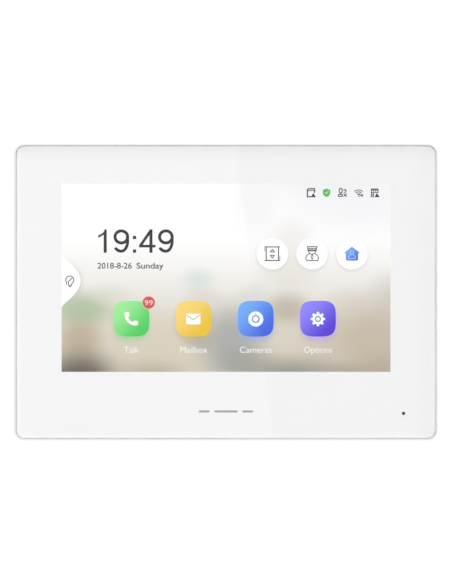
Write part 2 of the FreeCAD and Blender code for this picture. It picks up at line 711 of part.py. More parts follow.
def make_reset_button():
    stem = rod_z(RESET_X, RESET_Y, RESET_RADIUS, -4.1, -1.3)
    return stem.makeFillet(0.25, [edge for edge in stem.Edges if abs(edge.BoundBox.ZMax + 4.1) < 1e-6])


# --- sound --------------------------------------------------------------------------
def make_speaker_gasket():
    front = SPEAKER_FACE_Y
    outer = slab(SPEAKER_WIDTH, SPEAKER_LENGTH, 9.9, front, front + 1.0, SPEAKER_X, SPEAKER_Z)
    hole = slab(SPEAKER_WIDTH - 4, SPEAKER_LENGTH - 4, 7.9, front - 1, 0, SPEAKER_X, SPEAKER_Z)
    return outer.cut(hole)


def speaker_dish(width, length, front_y, small_width, small_length, back_y):
    wide = rounded_wire(width, length, width / 2 - 0.1, front_y, SPEAKER_X, SPEAKER_Z)
    narrow = rounded_wire(small_width, small_length, small_width / 2 - 0.1, back_y, SPEAKER_X, SPEAKER_Z)
    return Part.makeLoft([wide, narrow], True, True)


def make_speaker_frame():
    back = SPEAKER_BACK_Y
    basket = slab(SPEAKER_WIDTH, SPEAKER_LENGTH, 9.9, back, SPEAKER_FACE_Y, SPEAKER_X, SPEAKER_Z)
    dish = speaker_dish(17.0, 37.0, SPEAKER_FACE_Y + 0.01, 9.0, 20.0, back + 0.6)
    return basket.cut(dish)


def make_speaker_cone():
    front = SPEAKER_FACE_Y - 0.4
    back = SPEAKER_FACE_Y - 3.0
    outer = speaker_dish(15.2, 34.2, front, 8.2, 18.4, back)
    inner = speaker_dish(14.4, 33.4, front + 0.01, 7.4, 17.6, back + 0.35)
    return outer.cut(inner)


def make_speaker_magnet():
    front = SPEAKER_BACK_Y - 4.0
    pot = rod_y(SPEAKER_X, SPEAKER_Z, MAGNET_RADIUS, front, SPEAKER_BACK_Y)
    return pot.makeFillet(0.5, edges_at_y(pot, front))


def make_speaker_leads():
    leads = []
    for index in range(2):
        x = SPEAKER_X + 3.0 + 2.0 * index
        z = -6.0 + 1.4 * index
        points = [V(x, -8.5, SPEAKER_Z + 12), V(x, -13.0, z), V(x + 6, -14.0, z + 3), V(-63.0, -14.0, z + 3)]
        leads.append(lead(points, 0.45))
    return group(leads)


def make_microphone_boot():
    back = LEDGE_BACK_Y + 4.2
    boot = rod_y(MIC_X, MIC_Z, MIC_BOOT, LEDGE_BACK_Y, back)
    boot = boot.makeFillet(0.6, edges_at_y(boot, back))
    pocket = rod_y(MIC_X, MIC_Z, CAPSULE, LEDGE_BACK_Y + 1.0, back + 1)
    return remove(boot, [pocket, rod_y(MIC_X, MIC_Z, 0.9, LEDGE_BACK_Y - 1, LEDGE_BACK_Y + 2)])


def make_microphone_capsule():
    y0 = LEDGE_BACK_Y + 1.0
    capsule = rod_y(MIC_X, MIC_Z, CAPSULE - 0.02, y0, y0 + 2.7)
    return capsule.cut(rod_y(MIC_X, MIC_Z, 0.8, y0 - 1, y0 + 0.4))


def make_microphone_leads():
    leads = []
    start_y = LEDGE_BACK_Y + 3.7
    for index in range(2):
        x = MIC_X - 0.9 + 1.8 * index
        z = MIC_Z + 1.2 * index
        end = V(55.7, -12.4, -40.0 + 1.4 * index)
        leads.append(lead([V(x, start_y, z), V(x, -12.4, z), V(x - 6, -12.4, z + 7), end], 0.4, 2.0))
    return group(leads)


def make_lead_sockets():
    """White two-way sockets on the board for the speaker and the microphone."""
    shapes = []
    for x0, x1, z in LEAD_SOCKETS:
        shapes.append(on_board(x0, x1, z - 3.0, z + 3.0, LEAD_SOCKET_HEIGHT))
    return group(shapes)


# --- radio --------------------------------------------------------------------------
def make_wifi_antenna():
    x0, x1, z0, z1 = ANTENNA
    return box(x0, x1, LEDGE_BACK_Y, LEDGE_BACK_Y + 0.4, z0, z1)


def make_antenna_lead():
    y = LEDGE_BACK_Y + 0.95
    x = ANTENNA_X
    points = [V(x + 15, y, 62.0), V(x + 4, y, 62.0), V(x, -14.0, 60.0), V(x, -13.2, 50.5), V(x, -14.2, 46.0)]
    return lead(points, 0.55)


def make_antenna_socket():
    return tube_y(ANTENNA_X, SOCKET_Z, 1.6, 0.6, BOARD_BACK_Y, BOARD_BACK_Y + 0.9)


# --- rear cover ---------------------------------------------------------------------
def tapered_block(inset, front_y, back_y):
    """Outline of the rear cover, straight at first and then sloping in to its back."""
    width = COVER_WIDTH - 2 * inset
    height = COVER_HEIGHT - 2 * inset
    radius = BODY_CORNER - COVER_STEP - 0.5 * inset
    straight = slab(width, height, radius, front_y, COVER_TAPER_Y)
    wide = rounded_wire(width, height, radius, COVER_TAPER_Y)
    narrow = rounded_wire(width - 2 * COVER_TAPER, height - 2 * COVER_TAPER, radius, back_y)
    return straight.fuse(Part.makeLoft([wide, narrow], True, True))


def hook_slot(x, top_z, y0, y1):
    return box(x - SLOT_WIDTH / 2, x + SLOT_WIDTH / 2, y0, y1, top_z - SLOT_HEIGHT, top_z)


def make_rear_cover():
    shell = tapered_block(0.0, PARTING_Y, COVER_BACK_Y)
    shell = shell.cut(tapered_block(WALL, PARTING_Y - 1, COVER_BACK_Y - WALL))
    tongue_outset = FRAME_WALL + SPLIT_GAP
    tongue_w = BODY_WIDTH - 2 * tongue_outset
    tongue_h = BODY_HEIGHT - 2 * tongue_outset
    tongue = slab(tongue_w, tongue_h, 2.4, PARTING_Y - 1.8, PARTING_Y + 1.5)
    tongue = tongue.cut(slab(tongue_w - 2.0, tongue_h - 2.0, 1.8, PARTING_Y - 3, PARTING_Y + 3))
    recess_low = -BRACKET_HEIGHT / 2 - LIFT - 1.0
    recess_high = BRACKET_HEIGHT / 2 + 1.0
    half = RECESS_WIDTH / 2
    back = COVER_BACK_Y - 1.0
    step = box(-half - WALL, half + WALL, RECESS_INNER_Y, back, recess_low - WALL, recess_high + WALL)
    bay_out = BAY_HALF + BAY_WALL
    bay = box(-bay_out, bay_out, BAY_FLOOR_Y - BAY_WALL, back, BAY_LOW - BAY_WALL, BAY_TOP + BAY_WALL)
    wells = [rod_y(x, z, COVER_WELL, BOSS_TOP_Y, back) for x, z in COVER_SCREWS]
    cover = join([shell, tongue, step, bay] + wells)

    cuts = [box(-half, half, RECESS_Y, 1, recess_low, recess_high)]
    cuts.append(box(-BAY_HALF, BAY_HALF, BAY_FLOOR_Y, 1, BAY_LOW, BAY_TOP))
    for x in (-HOOK_X, HOOK_X):
        for z in (-HOOK_Z, HOOK_Z):
            cuts.append(hook_slot(x, z, RECESS_INNER_Y - 1, 1))
    for x, z in COVER_SCREWS:
        cuts.append(rod_y(x, z, COVER_BORE, COVER_SEAT_Y, 1))
        cuts.append(rod_y(x, z, 1.6, BOSS_TOP_Y - 1, 1))
    cuts += connector_cuts()
    cuts += vent_cuts()
    for index in range(GRILLE_COUNT):
        z = SPEAKER_Z + (index - (GRILLE_COUNT - 1) / 2) * GRILLE_SPACING
        cuts.append(slot_y(SPEAKER_X, z, 0.8, 13.0, COVER_BACK_Y - WALL - 1, 1))
    sink = COVER_BACK_Y - LABEL_SINK
    cuts.append(slab(LABEL_WIDTH + 0.6, LABEL_HEIGHT + 0.6, 1.3, sink, 1, LABEL_X, LABEL_Z))
    return remove(cover, cuts)


def connector_cuts():
    """Ways through the bay's walls for the jack, the headers, the card and the reset pin."""
    low = BAY_TOP - 0.5
    high = BAY_TOP + BAY_WALL + 0.5
    half = JACK_WIDTH / 2 + 0.15
    cuts = [box(JACK_X - half, JACK_X + half, BOARD_BACK_Y - 0.15, CONNECTOR_BACK_Y + 0.15, low, high)]
    for x, poles, pitch in ((ALARM_X, ALARM_POLES, ALARM_PITCH), (POWER_X, POWER_POLES, POWER_PITCH)):
        half = poles * pitch / 2 + 1.15
        cuts.append(box(x - half, x + half, BOARD_BACK_Y - 0.15, HEADER_BACK_Y + 0.15, low, high))
    cuts.append(rod_z(RESET_X, RESET_Y, 1.0, low, high))
    wall = BAY_HALF + BAY_WALL / 2
    card_y = (BOARD_BACK_Y + 0.3, BOARD_BACK_Y + 1.7)
    cuts.append(box(wall - 2, wall + 2, card_y[0], card_y[1], CARD_Z - 6.2, CARD_Z + 6.2))
    return cuts


def vent_cuts():
    """Rows of upright slots through the top and bottom walls."""
    cuts = []
    outside = COVER_HEIGHT / 2 + 1
    inside = COVER_HEIGHT / 2 - WALL - 0.6
    back = COVER_TAPER_Y - 0.6
    for index in range(VENT_COUNT):
        x = (index - (VENT_COUNT - 1) / 2) * VENT_SPACING
        cuts.append(box(x - 1, x + 1, VENT_FRONT_Y, back, inside, outside))
        cuts.append(box(x - 1, x + 1, VENT_FRONT_Y, back, -outside, -inside))
    return cuts


def make_blank_label():
    y = COVER_BACK_Y - LABEL_SINK
    return slab(LABEL_WIDTH, LABEL_HEIGHT, 1.0, y, y + LABEL_THICK, LABEL_X, LABEL_Z)


def make_cover_screws():
    y = COVER_SEAT_Y
    return group([screw(x, z, 2.5, y, y + 2.0, 1.3, BOSS_TOP_Y - 6.5) for x, z in COVER_SCREWS])


# --- wall bracket -------------------------------------------------------------------
def bracket_hook(x, top_z):
    """L-shaped hook folded out of the plate, its prong pointing up behind the cover's wall."""
    half = HOOK_WIDTH / 2
    front = PRONG_FRONT_Y
    neck = box(x - half, x + half, front, -BRACKET_THICK + 0.5, top_z - BRACKET_THICK, top_z)
    prong = box(x - half, x + half, front, front + BRACKET_THICK, top_z - 0.1, top_z + HOOK_PRONG)
    hook = join([neck, prong])
    bend = []
    for edge in edges_at_y(hook, front):
        if edge.BoundBox.ZMax < top_z - BRACKET_THICK + 0.01:
            bend.append(edge)
    hook = hook.makeFillet(1.4, bend)
    tip = []
    for edge in hook.Edges:
        bounds = edge.BoundBox
        if bounds.ZMin > top_z + HOOK_PRONG - 0.01 and bounds.XLength < 0.01:
            tip.append(edge)
    return hook.makeFillet(1.5, tip)


def make_wall_bracket():
    plate = slab(BRACKET_WIDTH, BRACKET_HEIGHT, 4.0, -BRACKET_THICK, 0)
    x0, x1, z0, z1 = BRACKET_WINDOW
    window = slab(x1 - x0, z1 - z0, 3.0, -BRACKET_THICK - 1, 1, (x0 + x1) / 2, (z0 + z1) / 2)
    cuts = [window]
    for x in (-WALL_SCREW_X, WALL_SCREW_X):
        for z in (-WALL_SCREW_Z, WALL_SCREW_Z):
            cuts.append(rod_y(x, z, WALL_SCREW_HOLE, -BRACKET_THICK - 1, 1))
    for side in (-1, 1):
        half = side * ROUND_BOX_SPACING / 2
        cuts.append(slot_y(half, 0, BOX_SLOT_HALF, BOX_SLOT_LENGTH, -BRACKET_THICK - 1, 1))
        half = side * GANG_BOX_SPACING / 2
        cuts.append(slot_y(0, half, BOX_SLOT_HALF, BOX_SLOT_LENGTH, -BRACKET_THICK - 1, 1, True))
    hooks = []
    punched = HOOK_WIDTH / 2 + 0.5
    for x in (-HOOK_X, HOOK_X):
        for z in (-HOOK_Z, HOOK_Z):
            hooks.append(bracket_hook(x, z))
            cuts.append(box(x - punched, x + punched, -BRACKET_THICK - 1, 1, z, z + HOOK_PRONG + 4.5))
    return join([remove(plate, cuts)] + hooks)


NODES = {
    "wall_bracket": make_wall_bracket,
    "cover_glass": make_cover_glass,
    "mask_print": make_mask_print,
    "touch_sensor": make_touch_sensor,
    "touch_flex": make_touch_flex,
    "glass_adhesive": make_glass_adhesive,
    "front_frame": make_front_frame,
    "lcd_gasket": make_lcd_gasket,
    "lcd_glass": make_lcd_glass,
    "optical_films": make_optical_films,
    "light_guide": make_light_guide,
    "backlight_strip": make_backlight_strip,
    "backlight_leds": make_backlight_leds,
    "reflector_sheet": make_reflector_sheet,
    "lcd_tray": make_lcd_tray,
    "lcd_flex": make_lcd_flex,
    "flex_connectors": make_flex_connectors,
    "retainer_plate": make_retainer_plate,
    "retainer_screws": make_retainer_screws,
    "board_standoffs": make_board_standoffs,
    "main_board": make_main_board,
    "board_screws": make_board_screws,
    "processor_chip": make_processor_chip,
    "memory_chips": make_memory_chips,
    "thermal_pad": make_thermal_pad,
    "shield_can": make_shield_can,
    "small_chips": make_small_chips,
    "power_inductors": make_power_inductors,
    "capacitors": make_capacitors,
    "network_transformer": make_network_transformer,
    "cell_holder": make_cell_holder,
    "coin_cell": make_coin_cell,
    "card_socket": make_card_socket,
    "rj45_jack": make_rj45_jack,
    "rj45_contacts": make_rj45_contacts,
    "reset_switch": make_reset_switch,
    "reset_button": make_reset_button,
    "speaker_gasket": make_speaker_gasket,
    "speaker_frame": make_speaker_frame,
    "speaker_cone": make_speaker_cone,
    "speaker_magnet": make_speaker_magnet,
    "speaker_leads": make_speaker_leads,
    "microphone_boot": make_microphone_boot,
    "microphone_capsule": make_microphone_capsule,
    "microphone_leads": make_microphone_leads,
    "lead_sockets": make_lead_sockets,
    "wifi_antenna": make_wifi_antenna,
    "antenna_lead": make_antenna_lead,
    "antenna_socket": make_antenna_socket,
    "rear_cover": make_rear_cover,
    "cover_screws": make_cover_screws,
    "blank_label": make_blank_label,
}

TERMINALS = {
    "alarm": (ALARM_X, ALARM_POLES, ALARM_PITCH),
    "power": (POWER_X, POWER_POLES, POWER_PITCH),
}


def main():
    os.makedirs("parts", exist_ok=True)
    shapes = {name: make() for name, make in NODES.items()}
    for name, place in TERMINALS.items():
        shapes[name + "_header"] = terminal_header(*place)
        shapes[name + "_plug"] = terminal_plug(*place)
        shapes[name + "_plug_screws"] = plug_screws(*place)
    for name, shape in shapes.items():
        solids = len(shape.Solids)
        print(f"{name:20s} solids {solids:2d}  volume {shape.Volume:10.2f}  valid {shape.isValid()}")
        shape.exportStep(f"parts/{name}.step")


main()
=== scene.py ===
import math

import bpy
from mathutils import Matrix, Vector


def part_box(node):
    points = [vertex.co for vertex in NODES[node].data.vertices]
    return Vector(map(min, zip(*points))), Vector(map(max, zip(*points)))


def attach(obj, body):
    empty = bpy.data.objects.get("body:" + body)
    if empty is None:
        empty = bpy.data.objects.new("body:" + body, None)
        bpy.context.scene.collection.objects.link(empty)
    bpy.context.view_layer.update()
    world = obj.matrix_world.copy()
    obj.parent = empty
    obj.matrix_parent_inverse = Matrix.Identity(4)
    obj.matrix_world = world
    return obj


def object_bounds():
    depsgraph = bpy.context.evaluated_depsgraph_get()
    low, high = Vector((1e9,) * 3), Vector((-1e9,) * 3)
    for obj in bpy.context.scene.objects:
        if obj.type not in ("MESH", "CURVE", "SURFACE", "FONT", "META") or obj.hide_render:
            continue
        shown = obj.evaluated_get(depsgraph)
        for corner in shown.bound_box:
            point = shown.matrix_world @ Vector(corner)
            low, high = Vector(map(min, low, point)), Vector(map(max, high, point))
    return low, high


# Looks of the wall-hung video intercom monitor: a finish for every CAD node, the lit
# screen with its signs, a pale studio and the camera. Sizes on the screen are in
# millimetres from the screen's centre, and MM turns them into metres.

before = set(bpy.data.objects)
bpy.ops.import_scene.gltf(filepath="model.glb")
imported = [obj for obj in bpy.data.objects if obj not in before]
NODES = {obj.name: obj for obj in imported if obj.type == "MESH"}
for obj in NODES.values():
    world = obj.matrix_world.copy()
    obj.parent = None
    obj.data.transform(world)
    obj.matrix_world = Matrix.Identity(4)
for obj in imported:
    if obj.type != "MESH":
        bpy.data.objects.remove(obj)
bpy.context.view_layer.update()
MM = 0.001

LOW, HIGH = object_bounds()
FRONT_Y = LOW.y
BODY_WIDTH = HIGH.x - LOW.x
PANEL_LOW, PANEL_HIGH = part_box("lcd_glass")
SCREEN_CENTRE = Vector(((PANEL_LOW.x + PANEL_HIGH.x) / 2, PANEL_LOW.y, (PANEL_LOW.z + PANEL_HIGH.z) / 2))
SCREEN_HALF_WIDTH = 77.65
SCREEN_HALF_HEIGHT = 44.4
LAYER = 0.04            # the screen's signs lie in layers this far apart
SHEET = 0.02            # and each is this thick
FACE_LAYER = 1          # tiles, round keys and the tab
SIGN_LAYER = 2          # the signs on them
INK_LAYER = 3           # clock, status signs and labels
TOP_LAYER = 4           # small marks over those
CAPITAL_SHARE = 0.73    # height of the font's capitals over its size


# --- colours -----------------------------------------------------------------------------
def light_value(shade):
    """A display shade from 0 to 255 as the light it gives off."""
    part = shade / 255
    return part / 12.92 if part <= 0.04045 else ((part + 0.055) / 1.055) ** 2.4


def colour(red, green, blue):
    return (light_value(red), light_value(green), light_value(blue), 1.0)


def grey(shade):
    return colour(shade, shade, shade)


INK = grey(48)
SIGN_GREY = grey(84)
TAB_GREY = grey(122)
WHITE = grey(255)


# --- node helpers ------------------------------------------------------------------------
class Nodes:
    """A short way to add and link the nodes of one material."""

    def __init__(self, tree):
        self.tree = tree
        tree.nodes.clear()

    def add(self, kind, settings=None, **inputs):
        node = self.tree.nodes.new(kind)
        for name, value in (settings or {}).items():
            setattr(node, name, value)
        for name, value in inputs.items():
            self.feed(node.inputs[name.replace("_", " ")], value)
        return node

    def feed(self, socket, value):
        if isinstance(value, bpy.types.NodeSocket):
            self.tree.links.new(value, socket)
        else:
            socket.default_value = value

    def math(self, operation, first, second=0.0):
        node = self.add("ShaderNodeMath", {"operation": operation})
        self.feed(node.inputs[0], first)
        self.feed(node.inputs[1], second)
        return node.outputs[0]

    def mix(self, share, first, second, kind="MIX"):
        node = self.add("ShaderNodeMix", {"data_type": "RGBA", "blend_type": kind})
        self.feed(node.inputs["Factor"], share)
        self.feed(node.inputs[6], first)
        self.feed(node.inputs[7], second)
        return node.outputs[2]

    def place(self, centre=(0.0, 0.0, 0.0), scale=(1.0, 1.0, 1.0)):
        """Object coordinates moved to a centre and then scaled."""
        coordinates = self.add("ShaderNodeTexCoord")
        moved = self.add("ShaderNodeVectorMath", {"operation": "SUBTRACT"})
        self.feed(moved.inputs[0], coordinates.outputs["Object"])
        moved.inputs[1].default_value = centre
        scaled = self.add("ShaderNodeVectorMath", {"operation": "MULTIPLY"})
        self.feed(scaled.inputs[0], moved.outputs[0])
        scaled.inputs[1].default_value = scale
        return scaled.outputs[0]

    def smooth(self, value, low, high, first=0.0, last=1.0):
        """Runs softly from first to last while value goes from low to high."""
        node = self.add("ShaderNodeMapRange", {"interpolation_type": "SMOOTHSTEP"})
        self.feed(node.inputs["Value"], value)
        for name, number in (("From Min", low), ("From Max", high), ("To Min", first), ("To Max", last)):
            node.inputs[name].default_value = number
        return node.outputs["Result"]

    def noise(self, size, detail=3.0, scale=(1.0, 1.0, 1.0)):
        """Noise whose features are about size millimetres across."""
        node = self.add("ShaderNodeTexNoise", Scale=1 / (size * MM), Detail=detail)
        self.feed(node.inputs["Vector"], self.place(scale=scale))
        return node.outputs["Fac"]

    def finish(self, shader):
        out = self.add("ShaderNodeOutputMaterial")
        self.feed(out.inputs["Surface"], shader)


def new_material(name):
    made = bpy.data.materials.new(name)
    made.use_nodes = True
    return made, Nodes(made.node_tree)


# --- finishes of the solid parts ---------------------------------------------------------
MOTTLE_SIZE = 14.0      # how broad the slow change of tone is
GLOSS_SPREAD = 0.06     # how far the roughness strays from its middle
PAINTED_EDGE_LIGHT_REACH = 3.0         # how far in from the edge the print gets its painted light

# Each solid finish: tone, roughness, what sets it apart, and the nodes that wear it.
SOLID_FINISHES = {
    "frame_white": (
        (0.82, 0.82, 0.824), 0.24, {"grain": 0.02, "grain_size": 0.6, "mottle": 0.012},
        ["front_frame"]),
    "cover_white": (
        (0.78, 0.78, 0.775), 0.48, {"grain": 0.55, "grain_size": 0.35, "mottle": 0.025},
        ["rear_cover"]),
    "connector_black": (
        (0.022, 0.022, 0.024), 0.42, {"grain": 0.2, "grain_size": 0.4, "mottle": 0.2},
        ["rj45_jack", "cell_holder", "reset_switch", "microphone_boot", "speaker_frame"]),
    "connector_green": (
        (0.035, 0.33, 0.11), 0.38, {"grain": 0.2, "grain_size": 0.5, "mottle": 0.12},
        ["alarm_header", "alarm_plug", "power_header", "power_plug"]),
    "connector_cream": (
        (0.72, 0.69, 0.6), 0.4, {"grain": 0.1, "grain_size": 0.5},
        ["flex_connectors", "lead_sockets", "backlight_leds"]),
    "chip_epoxy": (
        (0.018, 0.018, 0.02), 0.55, {"grain": 0.4, "grain_size": 0.15, "mottle": 0.2},
        ["processor_chip", "memory_chips", "small_chips", "power_inductors", "network_transformer"]),
    "bright_steel": (
        (0.62, 0.63, 0.65), 0.26, {"metallic": 1.0, "grain": 0.2, "stretch": (0.05, 1, 1), "mottle": 0.08},
        ["lcd_tray", "retainer_plate", "shield_can", "card_socket", "speaker_magnet"]),
    "screw_nickel": (
        (0.55, 0.54, 0.53), 0.22, {"metallic": 1.0, "grain": 0.1, "grain_size": 0.4, "mottle": 0.1},
        ["retainer_screws", "board_screws", "cover_screws", "board_standoffs", "coin_cell",
         "alarm_plug_screws", "power_plug_screws"]),
    "gold_flash": (
        (0.85, 0.6, 0.22), 0.24, {"metallic": 1.0, "grain": 0.1, "grain_size": 0.5},
        ["rj45_contacts", "antenna_socket"]),
    "can_aluminium": (
        (0.75, 0.76, 0.78), 0.28, {"metallic": 1.0, "grain": 0.15, "grain_size": 0.6},
        ["capacitors"]),
    "label_silver": (
        (0.72, 0.72, 0.73), 0.34, {"metallic": 0.2, "grain": 0.15, "grain_size": 0.3},
        ["blank_label"]),
    "flex_amber": (
        (0.42, 0.19, 0.035), 0.3, {"grain": 0.1, "grain_size": 2.0, "mottle": 0.15},
        ["touch_flex", "lcd_flex", "backlight_strip"]),
    "foam_black": (
        (0.02, 0.02, 0.02), 0.9, {"grain": 0.9, "grain_size": 0.25, "mottle": 0.3},
        ["lcd_gasket", "speaker_gasket"]),
    "film_white": (
        (0.84, 0.84, 0.83), 0.5, {"grain": 0.1, "grain_size": 0.3, "mottle": 0.02},
        ["optical_films", "reflector_sheet", "light_guide", "glass_adhesive"]),
    "lead_red": (
        (0.5, 0.02, 0.02), 0.4, {"grain": 0.1, "grain_size": 0.5},
        ["speaker_leads", "microphone_leads"]),
    "lead_black": (
        (0.03, 0.03, 0.03), 0.4, {"grain": 0.1, "grain_size": 0.5},
        ["antenna_lead"]),
    "antenna_black": (
        (0.02, 0.02, 0.022), 0.35, {"grain": 0.1},
        ["wifi_antenna"]),
    "reset_white": (
        (0.75, 0.75, 0.74), 0.35, {"grain": 0.1, "grain_size": 0.4},
        ["reset_button"]),
    "pad_blue": (
        (0.35, 0.45, 0.6), 0.7, {"grain": 0.4, "grain_size": 0.4},
        ["thermal_pad"]),
    "cone_paper": (
        (0.07, 0.07, 0.075), 0.8, {"grain": 0.7, "grain_size": 0.5, "mottle": 0.3},
        ["speaker_cone"]),
    "capsule_black": (
        (0.14, 0.14, 0.14), 0.75, {"grain": 0.5, "grain_size": 0.2},
        ["microphone_capsule"]),
}


def solid_finish(name, base, roughness, metallic=0.0, grain=0.0, grain_size=1.0,
                 stretch=(1, 1, 1), mottle=0.04):
    """Moulded, rolled or printed surface: its tone, gloss and relief all vary a little."""
    made, n = new_material(name)
    broad = n.noise(MOTTLE_SIZE, 2.0)
    fine = n.noise(grain_size, 4.0, stretch)
    light = (*base[:3], 1.0)
    dark = (*(part * (1 - mottle) for part in base[:3]), 1.0)
    tone = n.mix(broad, dark, light)
    gloss = n.smooth(fine, 0.2, 0.8, max(0.02, roughness - GLOSS_SPREAD), min(1.0, roughness + GLOSS_SPREAD))
    shader = n.add("ShaderNodeBsdfPrincipled", Base_Color=tone, Roughness=gloss, Metallic=metallic)
    if grain:
        bump = n.add("ShaderNodeBump", Strength=grain, Distance=0.05 * MM, Height=fine)
        n.feed(shader.inputs["Normal"], bump.outputs["Normal"])
    n.finish(shader.outputs["BSDF"])
    return made


def clear_finish(name, mirror_ior):
    """Clear sheet: it mirrors a little by angle and lets the rest straight through."""
    made, n = new_material(name)
    fresnel = n.add("ShaderNodeFresnel", IOR=mirror_ior)
    side = n.add("ShaderNodeNewGeometry")
    outside = n.math("SUBTRACT", 1.0, side.outputs["Backfacing"])
    share = n.math("MULTIPLY", fresnel.outputs[0], outside)
    through = n.add("ShaderNodeBsdfTransparent", Color=(1, 1, 1, 1))
    mirror = n.add("ShaderNodeBsdfGlossy", Color=(1, 1, 1, 1), Roughness=0.0)
    mixed = n.add("ShaderNodeMixShader")
    n.feed(mixed.inputs[0], share)
    n.feed(mixed.inputs[1], through.outputs[0])
    n.feed(mixed.inputs[2], mirror.outputs[0])
    n.finish(mixed.outputs[0])
    return made


def print_finish():
    """White ink, painted lighter toward its edge in place of the light that the glass carries sideways
    there.
    """
    made, n = new_material("ink_white")
    split = n.add("ShaderNodeSeparateXYZ")
    n.feed(split.inputs[0], n.place(scale=(1 / MM, 1 / MM, 1 / MM)))
    ink_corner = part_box("mask_print")[1]
    nearness = []
    for axis, reach in (("X", ink_corner.x / MM), ("Z", ink_corner.z / MM)):
        across = n.math("ABSOLUTE", split.outputs[axis])
        nearness.append(n.smooth(across, reach - PAINTED_EDGE_LIGHT_REACH, reach))
    edge = n.math("MAXIMUM", *nearness)
    tone = n.mix(n.noise(MOTTLE_SIZE, 2.0), (0.90, 0.90, 0.903, 1), (0.905, 0.905, 0.908, 1))
    # Painted light: the print is made lighter near its outer edge, against the shade of the rim's wall.
    tone = n.mix(edge, tone, (0.965, 0.965, 0.968, 1))
    shader = n.add("ShaderNodeBsdfPrincipled", Base_Color=tone, Roughness=0.6)
    shader.inputs["Specular IOR Level"].default_value = 0.1
    n.finish(shader.outputs["BSDF"])
    return made


def board_finish():
    """Green solder mask with faint copper tracks and specks under it."""
    made, n = new_material("board_green")
    tracks = n.add("ShaderNodeTexBrick", {"offset": 0.5})
    n.feed(tracks.inputs["Vector"], n.place())
    tracks.inputs["Scale"].default_value = 1 / (9 * MM)
    tracks.inputs["Mortar Size"].default_value = 0.03
    tracks.inputs["Color1"].default_value = (0.012, 0.13, 0.055, 1)
    tracks.inputs["Color2"].default_value = (0.015, 0.155, 0.065, 1)
    tracks.inputs["Mortar"].default_value = (0.03, 0.24, 0.10, 1)
    speck = n.smooth(n.noise(1.2), 0.62, 0.7)
    tone = n.mix(speck, tracks.outputs["Color"], (0.62, 0.5, 0.22, 1))
    shader = n.add("ShaderNodeBsdfPrincipled", Base_Color=tone, Roughness=0.32)
    n.finish(shader.outputs["BSDF"])
    return made


def zinc_finish():
    """Zinc-plated sheet: pale crystals and a faint rolled grain."""
    made, n = new_material("zinc_plate")
    cells = n.add("ShaderNodeTexVoronoi", Scale=1 / (5 * MM))
    n.feed(cells.inputs["Vector"], n.place())
    tone = n.mix(cells.outputs["Distance"], (0.50, 0.51, 0.53, 1), (0.66, 0.67, 0.69, 1))
    streak = n.noise(1.2, 3.0, (0.06, 1.0, 1.0))
    gloss = n.smooth(streak, 0.2, 0.8, 0.38, 0.54)
    shader = n.add("ShaderNodeBsdfPrincipled", Base_Color=tone, Roughness=gloss, Metallic=1.0)
    bump = n.add("ShaderNodeBump", Strength=0.15, Distance=0.02 * MM, Height=streak)
    n.feed(shader.inputs["Normal"], bump.outputs["Normal"])
    n.finish(shader.outputs["BSDF"])
    return made


def paint_nodes():
    """Gives each CAD node its finish."""
    painted = {
        "cover_glass": clear_finish("front_glass", 1.34),
        "touch_sensor": clear_finish("touch_clear", 1.02),
        "mask_print": print_finish(),
        "wall_bracket": zinc_finish(),
        "main_board": board_finish(),
        "lcd_glass": wallpaper_finish(),
    }
    for name, (base, roughness, options, wearers) in SOLID_FINISHES.items():
        made = solid_finish(name, base, roughness, **options)
        painted.update({node: made for node in wearers})
    for node, piece in NODES.items():
        piece.data.materials.clear()
        piece.data.materials.append(painted[node])


# --- the lit picture behind the signs ----------------------------------------------------
TILE_X = [-44.7 + 29.38 * index for index in range(4)]
TILE_Z = -19.3
TILE_SIZE = 16.9
DISC_X = (21.9, 40.7, 59.5)
DISC_Z = 11.4
DISC_RADIUS = 7.5

# Tone of the picture from its top (0) to its foot (1).
RAMP = (
    (0.0, (255, 255, 255)),
    (0.30, (254, 254, 254)),
    (0.42, (246, 245, 242)),
    (0.55, (235, 234, 228)),
    (0.68, (224, 219, 208)),
    (0.82, (216, 208, 193)),
    (1.0, (208, 200, 183)),
)

# Soft patches laid on it: centre, half-sizes, shade and strength.
PATCHES = (
    ((62, 40), (50, 24), (243, 243, 246), 0.8),
    ((44, 50), (46, 12), (236, 238, 241), 0.75),
    ((14, 36), (14, 24), (246, 246, 248), 0.85),
    ((31, 18), (13, 12), (240, 235, 230), 0.7),
    ((30, 2), (17, 14), (228, 222, 213), 0.55),
    ((12, -9), (10, 7), (218, 216, 214), 0.7),
    ((84, -9), (22, 15), (206, 198, 188), 0.7),
    ((58, -11), (13, 8), (220, 209, 200), 0.5),
    ((-68, -15), (20, 11), (168, 188, 152), 0.85),
    ((-69, -29), (14, 13), (184, 168, 140), 0.85),
    ((-69, -46), (24, 15), (100, 94, 78), 0.95),
    ((-55, -8), (13, 6), (212, 216, 198), 0.5),
    ((-13, -1), (10, 7), (208, 220, 216), 0.65),
    ((-11, -9), (11, 6), (220, 211, 205), 0.7),
    ((-30, -34), (30, 20), (214, 206, 187), 0.8),
    ((-35, -48), (22, 11), (182, 172, 148), 0.95),
    ((2, -30), (20, 22), (168, 170, 166), 0.95),
    ((29, -15), (14, 10), (190, 180, 163), 0.85),
    ((28, -28), (13, 9), (218, 211, 196), 0.8),
    ((70, -30), (34, 24), (198, 186, 168), 0.95),
    ((76, -45), (24, 12), (178, 164, 145), 0.7),
    ((30, -46), (34, 11), (154, 152, 142), 0.9),
    ((8, -40), (17, 10), (154, 154, 148), 0.65),
    ((-12, -30), (9, 6), (172, 170, 162), 0.7),
    ((58, -47), (20, 8), (172, 162, 142), 0.7),
)

TILE_GLOW_DROP = 2.1    # how far below a tile its glow lies
TILE_GLOW_TRIM = 0.3    # how much smaller than the tile it is on each side
DISC_SHADOW_DROP = 0.8
DISC_SHADE = colour(214, 208, 202)
TAB_SHADOW_X = -78.5
TAB_SHADOW_DROP = 1.0
TAB_SHADOW_HALF = 10.4
TAB_SHADE = colour(190, 192, 184)


